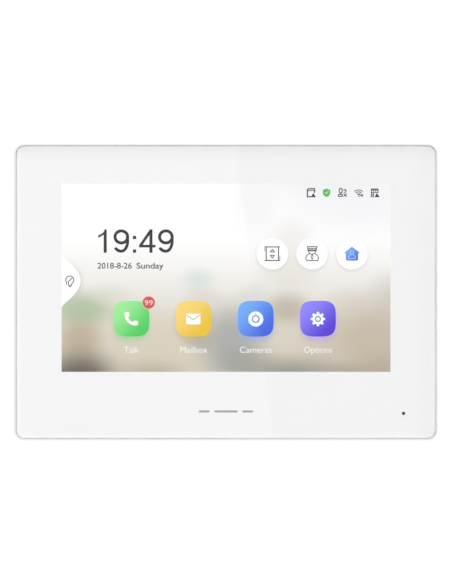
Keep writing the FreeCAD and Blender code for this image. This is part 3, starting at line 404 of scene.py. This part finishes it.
def screen_point(point, layer):
    """A point of the screen, in metres in the object's frame."""
    x, z = point
    return (SCREEN_CENTRE.x + x * MM, SCREEN_CENTRE.y - layer * LAYER * MM, SCREEN_CENTRE.z + z * MM)


def patch_share(n, centre, half_sizes, strength):
    """How much of a patch shows at a point: its strength inside, fading to nothing."""
    scale = (1 / (half_sizes[0] * MM), 0, 1 / (half_sizes[1] * MM))
    length = n.add("ShaderNodeVectorMath", {"operation": "LENGTH"})
    n.feed(length.inputs[0], n.place(screen_point(centre, 0), scale))
    return n.smooth(length.outputs["Value"], 0.15, 1.15, strength, 0.0)


def shaded(n, tone, shade, centre, half, radius, blur, strength):
    """The tone with a blurred rounded square of another shade laid on it."""
    split = n.add("ShaderNodeSeparateXYZ")
    n.feed(split.inputs[0], n.place(screen_point(centre, 0), (1 / MM, 0, 1 / MM)))
    squares = []
    for axis in ("X", "Z"):
        beyond = n.math("SUBTRACT", n.math("ABSOLUTE", split.outputs[axis]), half - radius)
        side = n.math("MAXIMUM", beyond, 0.0)
        squares.append(n.math("MULTIPLY", side, side))
    distance = n.math("SQRT", n.math("ADD", *squares))
    inside = n.smooth(distance, radius - blur, radius + blur, 1.0, 0.0)
    return n.mix(n.math("MULTIPLY", inside, strength), tone, shade)


def ramp_tone(n):
    """The picture's tone by height alone."""
    split = n.add("ShaderNodeSeparateXYZ")
    n.feed(split.inputs[0], n.place(screen_point((0, 0), 0), (1 / MM, 1, 1 / MM)))
    height = n.smooth(split.outputs["Z"], SCREEN_HALF_HEIGHT, -SCREEN_HALF_HEIGHT)
    height.node.interpolation_type = "LINEAR"
    ramp = n.add("ShaderNodeValToRGB")
    n.feed(ramp.inputs["Fac"], height)
    elements = ramp.color_ramp.elements
    for element, (position, shade) in zip(elements, (RAMP[0], RAMP[-1])):
        element.position = position
        element.color = colour(*shade)
    for position, shade in RAMP[1:-1]:
        elements.new(position).color = colour(*shade)
    return ramp.outputs["Color"]


def wallpaper_finish():
    """Out-of-focus room: white above, warm and green-grey below, with the glow of the tiles."""
    made, n = new_material("screen_picture")
    tone = ramp_tone(n)
    for centre, half_sizes, shade, strength in PATCHES:
        tone = n.mix(patch_share(n, centre, half_sizes, strength), tone, colour(*shade))
    for x, tile in zip(TILE_X, TILES):
        centre = (x, TILE_Z - TILE_GLOW_DROP)
        half = TILE_SIZE / 2 - TILE_GLOW_TRIM
        tone = shaded(n, tone, tile["glow"], centre, half, radius=6.0, blur=3.3, strength=0.75)
    for x in DISC_X:
        centre = (x, DISC_Z - DISC_SHADOW_DROP)
        tone = shaded(n, tone, DISC_SHADE, centre, DISC_RADIUS, DISC_RADIUS, blur=1.5, strength=0.65)
    centre = (TAB_SHADOW_X, TAB_Z - TAB_SHADOW_DROP)
    tone = shaded(n, tone, TAB_SHADE, centre, TAB_SHADOW_HALF, radius=10.0, blur=2.0, strength=0.5)
    shader = n.add("ShaderNodeEmission", Color=tone, Strength=1.0)
    n.finish(shader.outputs[0])
    return made


def uneven(n, tone):
    """The small unevenness that a backlight gives to a shade of the picture."""
    dimmed = n.mix(1.0, tone, grey(253), "MULTIPLY")
    return n.mix(n.smooth(n.noise(9.0, 2.0), 0.3, 0.7), dimmed, tone)


def lit(name, tone):
    made, n = new_material(name)
    shader = n.add("ShaderNodeEmission", Color=uneven(n, tone), Strength=1.0)
    n.finish(shader.outputs[0])
    return made


def lit_gradient(name, centre, size, first, last):
    """Lit colour that runs from the upper left to the lower right."""
    made, n = new_material(name)
    split = n.add("ShaderNodeSeparateXYZ")
    n.feed(split.inputs[0], n.place(screen_point(centre, 0), (1 / (size * MM), 1, 1 / (size * MM))))
    slant = n.math("SUBTRACT", split.outputs["X"], split.outputs["Z"])
    share = n.smooth(slant, -0.75, 0.75)
    shader = n.add("ShaderNodeEmission", Color=uneven(n, n.mix(share, first, last)), Strength=1.0)
    n.finish(shader.outputs[0])
    return made


# --- flat outlines -----------------------------------------------------------------------
def circle(x, z, radius, steps=40, tall=None):
    """Circle, or an ellipse whose upright radius is tall."""
    tall = tall or radius
    turns = [2 * math.pi * index / steps for index in range(steps)]
    return [(x + radius * math.cos(turn), z + tall * math.sin(turn)) for turn in turns]


def disc(x, z, radius, steps=40):
    return ("face", circle(x, z, radius, steps))


def ring(x, z, radius, width, steps=40, tall=None):
    tall = tall or radius
    half = width / 2
    outer = circle(x, z, radius + half, steps, tall + half)
    return ("band", outer, circle(x, z, radius - half, steps, tall - half))


def stroke(x0, z0, x1, z1, width):
    """Straight line with round ends."""
    angle = math.atan2(z1 - z0, x1 - x0)
    half = width / 2
    points = []
    for x, z, start in ((x1, z1, angle - math.pi / 2), (x0, z0, angle + math.pi / 2)):
        for index in range(7):
            turn = start + math.pi * index / 6
            points.append((x + half * math.cos(turn), z + half * math.sin(turn)))
    return ("face", points)


def strokes(points, width, closed=False):
    """Line through the points, and back to the first where it is closed."""
    ends = points[1:] + points[:1] if closed else points[1:]
    return [stroke(*first, *last, width) for first, last in zip(points, ends)]


def arc_points(x, z, radius, start, end, steps=24, tall=None):
    """Points of an arc, with its angles in degrees."""
    tall = tall or radius
    result = []
    for index in range(steps + 1):
        turn = math.radians(start + (end - start) * index / steps)
        result.append((x + radius * math.cos(turn), z + tall * math.sin(turn)))
    return result


def arc(x, z, radius, start, end, width, steps=24, tall=None):
    """Line of that width along an arc, with square ends."""
    tall = tall or radius
    half = width / 2
    outer = arc_points(x, z, radius + half, start, end, steps, tall + half)
    inner = arc_points(x, z, radius - half, start, end, steps, tall - half)
    outline = outer + inner[::-1]
    return ("face", outline if end > start else outline[::-1])


def round_box(x, z, width, height, radius, steps=8):
    """Outline of a rectangle with round corners."""
    points = []
    corners = ((1, 1, 0), (-1, 1, 90), (-1, -1, 180), (1, -1, 270))
    for sx, sz, start in corners:
        centre_x = x + sx * (width / 2 - radius)
        centre_z = z + sz * (height / 2 - radius)
        points += arc_points(centre_x, centre_z, radius, start, start + 90, steps)
    return points


def box_line(x, z, width, height, radius, line):
    """Line of that thickness round such a rectangle."""
    outer = round_box(x, z, width + line, height + line, radius + line / 2)
    inner = round_box(x, z, width - line, height - line, max(0.02, radius - line / 2))
    return ("band", outer, inner)


def squircle(x, z, size, power=3.6, steps=64):
    """Square with continuously rounded sides and corners."""
    points = []
    for index in range(steps):
        turn = 2 * math.pi * index / steps
        cos, sin = math.cos(turn), math.sin(turn)
        reach = (abs(cos) ** power + abs(sin) ** power) ** (-1 / power)
        points.append((x + size / 2 * reach * cos, z + size / 2 * reach * sin))
    return points


def triangle(x, z, width, height):
    """Outline of a triangle that points up, or down where height is negative."""
    return [(x - width / 2, z - height / 2), (x + width / 2, z - height / 2), (x, z + height / 2)]


def moved(shapes, x, z, turn=0.0):
    """Shapes drawn about the origin, turned by degrees and moved."""
    cos, sin = math.cos(math.radians(turn)), math.sin(math.radians(turn))
    result = []
    for shape in shapes:
        loops = [[(x + px * cos - pz * sin, z + px * sin + pz * cos) for px, pz in loop]
                 for loop in shape[1:]]
        result.append((shape[0], *loops))
    return result


def add_walls(faces, front, back, count, reverse):
    """Side walls between a front and a back loop that start at those indices."""
    for index in range(count):
        after = (index + 1) % count
        quad = (front + index, front + after, back + after, back + index)
        faces.append(quad[::-1] if reverse else quad)


def flat_piece(name, shapes, layer, finish, thickness=SHEET, to_point=screen_point):
    """Thin closed sheet made of the shapes, lying in one layer of the screen.

    A shape is a word and its loops: "face" with one loop, or "band" with an outer and an
    inner loop of as many points.
    """
    points, faces = [], []
    for shape in shapes:
        loops = shape[1:]
        starts = []
        for loop in loops:
            fronts = [to_point(point, layer) for point in loop]
            start = len(points)
            points += fronts
            points += [(x, y + thickness * MM, z) for x, y, z in fronts]
            starts.append(start)
        count = len(loops[0])
        first = starts[0]
        add_walls(faces, first, first + count, count, True)
        if shape[0] == "face":
            faces.append(tuple(range(first, first + count)))
            faces.append(tuple(range(first + 2 * count - 1, first + count - 1, -1)))
        else:
            second = starts[1]
            add_walls(faces, second, second + count, count, False)
            for index in range(count):
                after = (index + 1) % count
                faces.append((first + index, first + after, second + after, second + index))
                faces.append((first + count + after, first + count + index,
                              second + count + index, second + count + after))
    mesh = bpy.data.meshes.new(name)
    mesh.from_pydata(points, [], faces)
    mesh.validate()
    mesh.update()
    piece = bpy.data.objects.new(name, mesh)
    bpy.context.scene.collection.objects.link(piece)
    mesh.materials.append(finish)
    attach(piece, "monitor")
    return piece


def words(name, text, place, height, width, finish, layer=INK_LAYER, align="CENTER", weight=0.0):
    """Line of plain lettering, width wide, that stands on place with capitals height tall."""
    data = bpy.data.curves.new(name, "FONT")
    data.body = text
    data.size = height * MM / CAPITAL_SHARE
    data.align_x = align
    data.extrude = SHEET * MM / 2
    data.offset = weight * MM
    data.resolution_u = 6
    piece = bpy.data.objects.new(name, data)
    bpy.context.scene.collection.objects.link(piece)
    data.materials.append(finish)
    piece.location = screen_point(place, layer)
    piece.rotation_euler = (math.pi / 2, 0, 0)
    bpy.context.view_layer.update()
    piece.scale.x = width * MM / piece.dimensions.x
    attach(piece, "monitor")


# --- clock and date ----------------------------------------------------------------------
CLOCK_LEFT = -60.8
CLOCK_BASE = 11.85
DIGIT_HEIGHT = 11.05
DIGIT_LINE = 1.45
DATE_BASE = 4.4
DATE_HEIGHT = 2.85
DAY_STEP = 18.4         # from the start of the date to the start of the day


def digit_one(x, base):
    top = base + DIGIT_HEIGHT
    right = x + 4.45
    left = right - DIGIT_LINE
    flag = [(right, top), (right - 0.95, top)]
    flag += arc_points(x + 0.1, top + 0.55, 3.4, -12, -80, 10, 3.2)
    flag += [(x + 0.1, top - 4.0), (x + 1.6, top - 3.45), (left, top - 2.5)]
    return [("face", [(left, base), (right, base)] + flag)]


def digit_nine(x, base):
    """Closed bowl above, with a tail that sweeps down and to the left."""
    middle = x + 3.7
    half = DIGIT_LINE / 2
    across = middle - x - half
    bowl_tall = 2.84
    tail_tall = 2.3
    shapes = [ring(middle, base + DIGIT_HEIGHT - half - bowl_tall, across, DIGIT_LINE, 56, bowl_tall)]
    full_tall = (DIGIT_HEIGHT - DIGIT_LINE) / 2
    shapes.append(arc(middle, base + half + full_tall, across, 24, -90, DIGIT_LINE, 28, full_tall))
    shapes.append(arc(middle, base + half + tail_tall, across - 0.12, -90, -166, DIGIT_LINE, 16, tail_tall))
    return shapes


def digit_four(x, base):
    top = base + DIGIT_HEIGHT
    half = DIGIT_LINE / 2
    stem = x + 5.6
    bar_low, bar_top = base + 2.5, base + 3.75
    upright = [(stem - half, base), (stem + half, base), (stem + half, top), (stem - half, top)]
    bar = [(x, bar_low), (x + 7.75, bar_low), (x + 7.75, bar_top), (x, bar_top)]
    slope = [(x, bar_top - 0.1), (x + 1.6, bar_top - 0.1), (stem - half + 0.1, top - 2.6),
             (stem + half, top), (stem - 0.5, top)]
    return [("face", upright), ("face", bar), ("face", slope)]


def draw_clock():
    ink = lit("clock_ink", INK)
    colon_x = CLOCK_LEFT + 17.6
    dots = [("face", round_box(colon_x, CLOCK_BASE + height, 1.55, 1.55, 0.12)) for height in (0.77, 7.2)]
    flat_piece("clock_hour_tens", digit_one(CLOCK_LEFT, CLOCK_BASE), INK_LAYER, ink)
    flat_piece("clock_hour_ones", digit_nine(CLOCK_LEFT + 7.65, CLOCK_BASE), INK_LAYER, ink)
    flat_piece("clock_colon", dots, INK_LAYER, ink)
    flat_piece("clock_minute_tens", digit_four(CLOCK_LEFT + 19.75, CLOCK_BASE), INK_LAYER, ink)
    flat_piece("clock_minute_ones", digit_nine(CLOCK_LEFT + 28.7, CLOCK_BASE), INK_LAYER, ink)
    date_ink = lit("date_ink", grey(60))
    date_place = (CLOCK_LEFT, DATE_BASE)
    day_place = (CLOCK_LEFT + DAY_STEP, DATE_BASE)
    words("date_numbers", "2018-8-26", date_place, DATE_HEIGHT, 16.2, date_ink, align="LEFT", weight=0.04)
    words("date_day", "Sunday", day_place, DATE_HEIGHT, 12.8, date_ink, align="LEFT", weight=0.05)


# --- status signs at the upper right -----------------------------------------------------
# Each sign's shapes are drawn about the sign's own centre.
STATUS_X = (40.1, 47.5, 55.0, 62.75, 70.4)
STATUS_Z = 40.2
THIN = 0.42


def warning_sign(x):
    return [("face", triangle(x, -1.1, 2.4, 2.05))]


def cross_sign(x, z, reach=0.62):
    return [stroke(x - reach, z - reach, x + reach, z + reach, THIN),
            stroke(x - reach, z + reach, x + reach, z - reach, THIN)]


def card_sign():
    outline = [(-0.1, -1.9), (-1.65, -1.9), (-1.65, 1.3), (-1.2, 1.85), (1.75, 1.85), (1.75, 0.2)]
    return strokes(outline, 0.6) + [stroke(-1.2, 1.0, 1.3, 1.0, 0.4)]


def shield_sign():
    half = 1.75
    turns = [math.pi / 2 * index / 8 for index in range(8)]
    crest = [(0, 1.95), (-half, 1.35)]
    crest += [(-half * math.cos(turn), 0.1 - 2.0 * math.sin(turn)) for turn in turns]
    crest += [(0, -2.0)]
    crest += [(-x, z) for x, z in crest[-2:0:-1]]
    return [("face", crest)]


def people_sign():
    head = ring(-0.8, 0.95, 0.72, 0.52, 24, 1.15)
    shoulders = box_line(-0.95, -1.25, 1.9, 1.0, 0.45, 0.52)
    hook = arc(1.05, 0.85, 0.72, 150, -120, 0.4, 16)
    return [head, shoulders, hook, stroke(0.9, 0.95, 1.5, 0.95, 0.28)]


def wireless_sign():
    return [arc(-0.1, -1.7, radius, 48, 132, THIN, 16) for radius in (3.0, 2.1, 1.2)]


def building_sign():
    shapes = [box_line(-0.15, 0.95, 3.2, 1.7, 0.1, 0.4), ("face", round_box(-0.15, 1.65, 3.4, 0.7, 0.1))]
    shapes += [stroke(-1.7, 0.95, 1.4, 0.95, 0.3)]
    shapes += [stroke(x, 0.2, x, 1.8, 0.26) for x in (-0.7, 0.35)]
    shapes += [stroke(x, -1.9, x, 0.1, 0.46) for x in (-1.75, -0.75)]
    shapes += [stroke(-1.75, z, -0.75, z, 0.42) for z in (-1.9, -0.9)]
    return shapes


def draw_status():
    ink = lit("status_ink", SIGN_GREY)
    dark = lit("status_dark", grey(58))
    green = lit("shield_green", colour(98, 186, 92))
    pale = lit("tick_pale", colour(214, 246, 210))
    tick = strokes([(-0.75, 0.1), (-0.15, -0.5), (0.85, 0.65)], 0.34)
    lost = [box_line(0.2, -1.3, 0.8, 0.8, 0.2, 0.28)] + cross_sign(1.5, -1.25, 0.45)
    card, shield, people, wireless, building = STATUS_X
    signs = (
        ("card", card, card_sign(), INK_LAYER, ink),
        ("card_warning", card, warning_sign(1.15), TOP_LAYER, dark),
        ("shield", shield, shield_sign(), INK_LAYER, green),
        ("shield_tick", shield, tick, TOP_LAYER, pale),
        ("people", people, people_sign(), INK_LAYER, ink),
        ("people_cross", people, cross_sign(1.3, -1.1), TOP_LAYER, dark),
        ("wireless", wireless, wireless_sign(), INK_LAYER, ink),
        ("wireless_cross", wireless, lost, TOP_LAYER, ink),
        ("building", building, building_sign(), INK_LAYER, ink),
        ("building_warning", building, warning_sign(0.95), TOP_LAYER, dark),
    )
    for name, x, shapes, layer, finish in signs:
        flat_piece("status_" + name, moved(shapes, x, STATUS_Z), layer, finish)


# --- round keys --------------------------------------------------------------------------
def lift_sign():
    """Cabin between two landings, with an arrow up and an arrow down."""
    shapes = [stroke(-3.4, z, 3.4, z, 0.5) for z in (3.2, -3.2)]
    shapes += [stroke(x, -3.2, x, 3.2, 0.5) for x in (-2.9, 2.9)]
    shapes += [stroke(-3.55, 1.2, -3.55, 3.0, 0.3)]
    shapes += [stroke(3.55, -3.0, 3.55, -1.2, 0.3)]
    for z, height in ((1.45, 1.25), (-1.45, -1.25)):
        shapes += strokes(triangle(0, z, 1.9, height), 0.42, True)
    return shapes


def guard_sign():
    """Cap, chin, shoulders and tie."""
    cap = [(-2.25, 3.3), (2.25, 3.3), (1.9, 1.35), (-1.9, 1.35)]
    shapes = strokes(cap, 0.45, True)
    shapes += [stroke(-1.9, z, 1.9, z, 0.5) for z in (2.35, 1.65)]
    shapes += [arc(0, 1.5, 1.75, 180, 360, 0.42)]
    shoulder = [(-1.3, 0.1), (-2.5, -0.8), (-3.05, -2.1), (-2.6, -3.2), (0, -3.25)]
    shapes += strokes(shoulder, 0.42) + strokes([(-x, z) for x, z in shoulder], 0.42)
    tie = [(0, -0.35), (-0.5, -1.4), (0, -2.9), (0.5, -1.4)]
    return shapes + strokes(tie, 0.34, True)


def home_sign():
    house = [(0, 3.35), (-3.55, 0.55), (-3.3, 0.2), (-2.9, 0.25), (-2.9, -2.7), (-2.4, -3.25)]
    house += [(-x, z) for x, z in house[:0:-1]]
    return [("face", house)]


def home_person_sign():
    return [ring(0, 0.55, 0.8, 0.45, 24), arc(0, -2.0, 1.65, 0, 180, 0.5, 20),
            stroke(-1.65, -2.3, 1.65, -2.3, 0.45)]


def draw_round_keys():
    white = lit("key_white", WHITE)
    ink = lit("key_ink", grey(98))
    lift, guard, home = DISC_X
    for name, x in zip(("lift", "guard", "home"), DISC_X):
        flat_piece("round_key_" + name, [disc(x, DISC_Z, DISC_RADIUS, 72)], FACE_LAYER, white)
    blue = lit_gradient("home_blue", (home, DISC_Z), 6.8, colour(132, 176, 252), colour(78, 112, 222))
    pale = lit("home_pale", colour(164, 194, 252))
    flat_piece("sign_lift", moved(lift_sign(), lift, DISC_Z), SIGN_LAYER, ink)
    flat_piece("sign_guard", moved(guard_sign(), guard, DISC_Z), SIGN_LAYER, ink)
    flat_piece("sign_home", moved(home_sign(), home, DISC_Z), SIGN_LAYER, blue)
    flat_piece("sign_home_person", moved(home_person_sign(), home, DISC_Z), INK_LAYER, pale)


# --- app tiles ---------------------------------------------------------------------------
SIGN_DROP = 0.15        # how far below the tile's centre its sign sits
LABEL_BASE = -35.4
LABEL_HEIGHT = 3.05
BADGE = (-36.5, -11.7)


def handset_sign():
    shapes = [arc(0, 3.35, 4.2, 226, 314, 1.45, 24)]
    for side in (-1, 1):
        shapes += moved([("face", round_box(0, 0, 2.35, 2.3, 0.7))], side * 2.85, 0.75, side * 42)
    return moved(shapes, -0.6, -0.45, -45)


def envelope_sign():
    return [("face", round_box(-0.15, 0, 6.75, 5.1, 0.5))]


def lens_sign():
    return [ring(0, 0, 2.72, 1.7, 56), disc(0, 0, 1.25, 40)]


def gear_sign():
    tooth = [("face", [(-0.72, 2.2), (0.72, 2.2), (0.5, 3.4), (-0.5, 3.4)])]
    shapes = []
    for index in range(8):
        shapes += moved(tooth, 0, 0, index * 45)
    return shapes + [ring(0, 0, 2.0, 1.15, 48), disc(0, 0, 0.9, 32)]


TILES = (
    {"name": "call", "sign": handset_sign, "label": "Talk", "width": 7.0,
     "glow": colour(150, 205, 140), "first": colour(158, 240, 152), "last": colour(72, 206, 92)},
    {"name": "message", "sign": envelope_sign, "label": "Mailbox", "width": 12.8,
     "glow": colour(190, 172, 120), "first": colour(250, 216, 116), "last": colour(236, 196, 44)},
    {"name": "live_view", "sign": lens_sign, "label": "Cameras", "width": 15.1,
     "glow": colour(146, 166, 214), "first": colour(110, 172, 250), "last": colour(72, 104, 228)},
    {"name": "settings", "sign": gear_sign, "label": "Options", "width": 13.2,
     "glow": colour(182, 164, 226), "first": colour(146, 136, 255), "last": colour(92, 62, 220)},
)


def draw_tiles():
    white = lit("sign_white", WHITE)
    for x, tile in zip(TILE_X, TILES):
        name = tile["name"]
        face = lit_gradient(name + "_tile", (x, TILE_Z), TILE_SIZE, tile["first"], tile["last"])
        flat_piece("tile_" + name, [("face", squircle(x, TILE_Z, TILE_SIZE))], FACE_LAYER, face)
        flat_piece("sign_" + name, moved(tile["sign"](), x, TILE_Z - SIGN_DROP), SIGN_LAYER, white)
        pale = lit(name + "_label", grey(244))
        words("label_" + name, tile["label"], (x, LABEL_BASE), LABEL_HEIGHT, tile["width"], pale)

    message, live = TILE_X[1:3]
    flap = strokes([(-3.1, 1.6), (-0.15, -0.5), (2.8, 1.6)], 0.45)
    gold = lit("flap_gold", colour(214, 184, 88))
    flat_piece("sign_message_flap", moved(flap, message, TILE_Z), INK_LAYER, gold)
    slate = lit("mark_slate", colour(88, 120, 190))
    flat_piece("sign_live_mark", [disc(live, TILE_Z + 2.3, 0.28, 16)], INK_LAYER, slate)


def draw_badge():
    """Red count of missed messages at the corner of the first tile."""
    pale = lit("badge_pale", colour(238, 196, 188))
    red = lit("badge_red", colour(214, 82, 82))
    flat_piece("badge_rim", [disc(*BADGE, 3.2, 40)], SIGN_LAYER, pale)
    flat_piece("badge", [disc(*BADGE, 2.85, 40)], INK_LAYER, red)
    count_ink = lit("badge_digits", colour(252, 222, 220))
    words("badge_count", "99", (BADGE[0], BADGE[1] - 1.3), 2.6, 3.8, count_ink, TOP_LAYER)


# --- tab at the left edge ----------------------------------------------------------------
TAB_Z = -1.4
TAB_HALF = 11.6         # half the height of the tab's body
TAB_REACH = 8.9         # how far it comes in from the screen's edge
TAB_SPREAD = 1.16       # how far its feet run on, in half heights
TAB_ROUND = 1.9         # 2 would be a parabola
TAB_FLARE = 0.05        # how far its feet flare out, in reaches
TAB_FLARE_WIDTH = 0.09
TAB_MARGIN = 0.6        # how far it runs on under the print
TAB_STEPS = 48
TAB_SIGN = (-73.8, -1.15)


def tab_outline():
    points = []
    for index in range(TAB_STEPS + 1):
        along = TAB_SPREAD * (2 * index / TAB_STEPS - 1)
        body = max(0.0, 1 - abs(along) ** TAB_ROUND)
        flare = TAB_FLARE * math.exp(-((abs(along) - 1.0) / TAB_FLARE_WIDTH) ** 2)
        points.append((-SCREEN_HALF_WIDTH + TAB_REACH * (body + flare), TAB_Z + along * TAB_HALF))
    back = -SCREEN_HALF_WIDTH - TAB_MARGIN
    return points + [(back, TAB_Z + TAB_SPREAD * TAB_HALF), (back, TAB_Z - TAB_SPREAD * TAB_HALF)]


def lamp_off_sign():
    """Bulb with its cap, struck through."""
    line = 0.48
    shapes = [arc(0, 0.1, 1.9, -25, 215, line, 32)]
    shapes += strokes([(1.68, -0.63), (0.75, -2.0), (0.6, -2.75)], line)
    shapes += strokes([(-1.52, -0.9), (-1.5, -1.9)], line)
    shapes += strokes([(1.4, 1.4), (-0.75, -0.75), (-0.55, -2.2)], line)
    return shapes + [("face", round_box(0.05, -2.75, 1.2, 0.9, 0.3))]


def draw_tab():
    flat_piece("side_tab", [("face", tab_outline())], FACE_LAYER, lit("tab_white", WHITE))
    flat_piece("sign_lamp_off", moved(lamp_off_sign(), *TAB_SIGN), SIGN_LAYER, lit("tab_ink", TAB_GREY))


# --- plain print on the front glass ------------------------------------------------------
MARK_Z = -56.4
MARK_DASHES = ((-10.3, 5.1), (0.0, 11.0), (10.3, 5.1))     # place across and width of each
MARK_HEIGHT = 0.95
MARK_THICKNESS = 0.008
MARK_GAP = 0.012        # from the white print to the front of the mark's ink


def mark_point(point, layer):
    """A point just in front of the white print, in metres; its layer has no meaning here."""
    print_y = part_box("mask_print")[0].y
    return (point[0] * MM, print_y - MARK_GAP * MM, point[1] * MM)


def draw_front_mark():
    """Plain dashes in grey ink where a maker would print a name."""
    ink = solid_finish("mark_grey", grey(158), 0.5, mottle=0.03)
    shapes = [("face", round_box(x, MARK_Z, width, MARK_HEIGHT, 0.45)) for x, width in MARK_DASHES]
    piece = flat_piece("front_mark", shapes, 0, ink, MARK_THICKNESS, mark_point)


# --- studio ------------------------------------------------------------------------------
# Sizes and places here are in metres.
VIEW_DISTANCE = 2.0
PICTURE_SHAPE = 584 / 452       # height of the picture over its width
BODY_SHARE = 0.93805    # how much of the picture's width the body fills
SENSOR = 36.0
FRONT_LIGHT = 0.98      # how bright the surround is in front of the monitor
BACK_LIGHT = 0.30       # and behind it
LIGHT_AXIS = (0.0, -0.92, 0.39)     # toward the brightest part of the surround
SEEN_WHITE = 1.05       # how bright the camera sees the surround
HANGING_HEIGHT = 1.45   # from the floor to the monitor's centre
FLOOR_RADIUS = 10.0


def make_camera():
    data = bpy.data.cameras.new("camera")
    camera = bpy.data.objects.new("camera", data)
    bpy.context.scene.collection.objects.link(camera)
    camera.location = (0, FRONT_Y - VIEW_DISTANCE, 0)
    camera.rotation_euler = (math.pi / 2, 0, 0)
    view_height = BODY_WIDTH / BODY_SHARE * PICTURE_SHAPE
    data.sensor_width = SENSOR      # spans the picture's height, its longer side
    data.lens = SENSOR * VIEW_DISTANCE / view_height
    data.clip_start = 0.05
    data.clip_end = 50
    bpy.context.scene.camera = camera


def make_world():
    """White surround for the camera; its light is strongest from the front and above."""
    world = bpy.data.worlds.new("studio")
    bpy.context.scene.world = world
    world.use_nodes = True
    n = Nodes(world.node_tree)
    direction = n.add("ShaderNodeTexCoord")
    toward = n.add("ShaderNodeVectorMath", {"operation": "DOT_PRODUCT"})
    n.feed(toward.inputs[0], direction.outputs["Generated"])
    toward.inputs[1].default_value = LIGHT_AXIS
    share = n.smooth(toward.outputs["Value"], -0.35, 0.85)
    glow = n.mix(share, (BACK_LIGHT, BACK_LIGHT, BACK_LIGHT, 1), (FRONT_LIGHT, FRONT_LIGHT, FRONT_LIGHT, 1))
    path = n.add("ShaderNodeLightPath")
    lighting = n.add("ShaderNodeBackground", Color=glow, Strength=1.0)
    seen = n.add("ShaderNodeBackground", Color=(1, 1, 1, 1), Strength=SEEN_WHITE)
    mixed = n.add("ShaderNodeMixShader")
    n.feed(mixed.inputs[0], path.outputs["Is Camera Ray"])
    n.feed(mixed.inputs[1], lighting.outputs[0])
    n.feed(mixed.inputs[2], seen.outputs[0])
    out = n.add("ShaderNodeOutputWorld")
    n.feed(out.inputs["Surface"], mixed.outputs[0])


def make_floor():
    """The room's floor, as far below as it is under a monitor hung at eye height."""
    points = [(x, y, -HANGING_HEIGHT) for x, y in circle(0, 0, FLOOR_RADIUS, 96)]
    mesh = bpy.data.meshes.new("floor")
    mesh.from_pydata(points, [], [tuple(range(len(points)))])
    floor = bpy.data.objects.new("floor", mesh)
    bpy.context.scene.collection.objects.link(floor)
    mesh.materials.append(solid_finish("floor_pale", (0.86, 0.86, 0.86, 1), 0.7, mottle=0.01))


def area_light(name, place, target, size, brightness, tilt=0.0):
    """Soft panel that faces target; its power follows from its size and brightness."""
    data = bpy.data.lights.new(name, "AREA")
    data.shape = "RECTANGLE"
    data.size, data.size_y = size
    data.energy = brightness * math.pi * size[0] * size[1]
    lamp = bpy.data.objects.new(name, data)
    bpy.context.scene.collection.objects.link(lamp)
    lamp.location = place
    aim = (Vector(target) - Vector(place)).to_track_quat("-Z", "Y")
    lamp.rotation_euler = aim.to_euler()
    lamp.rotation_euler.rotate_axis("Z", math.radians(tilt))


# The card is a pale panel in front, to the left, whose inner edge the glass mirrors.
CARD_DISTANCE = 4.0
CARD_SIZE = 2.4
CARD_SLANT = 7.5        # degrees that its inner edge leans
CARD_EDGE = 0.0195      # how far to the right the middle of that edge is
CARD_BRIGHTNESS = 0.85

# Panels that face the monitor: place, size and brightness.
PANELS = {
    "top_light": ((0.3, -0.4, 2.2), (2.2, 1.6), 1.6),
    "right_light": ((2.3, -0.1, 0.5), (1.2, 1.8), 3.6),
    "back_light": ((-1.8, 2.2, 1.8), (2.6, 2.2), 1.9),
}


def make_lights():
    card_x = CARD_EDGE - CARD_SIZE / 2 * math.cos(math.radians(CARD_SLANT))
    place, target = (card_x, -CARD_DISTANCE, 0), (card_x, 0, 0)
    area_light("card_light", place, target, (CARD_SIZE, CARD_SIZE), CARD_BRIGHTNESS, CARD_SLANT)
    for name, (place, size, brightness) in PANELS.items():
        area_light(name, place, (0, 0, 0), size, brightness)


# --- all of it ---------------------------------------------------------------------------
bpy.context.scene.view_settings.view_transform = "Standard"
bpy.context.scene.view_settings.look = "None"
paint_nodes()
draw_clock()
draw_status()
draw_round_keys()
draw_tiles()
draw_badge()
draw_tab()
draw_front_mark()
make_world()
make_floor()
make_lights()
make_camera()
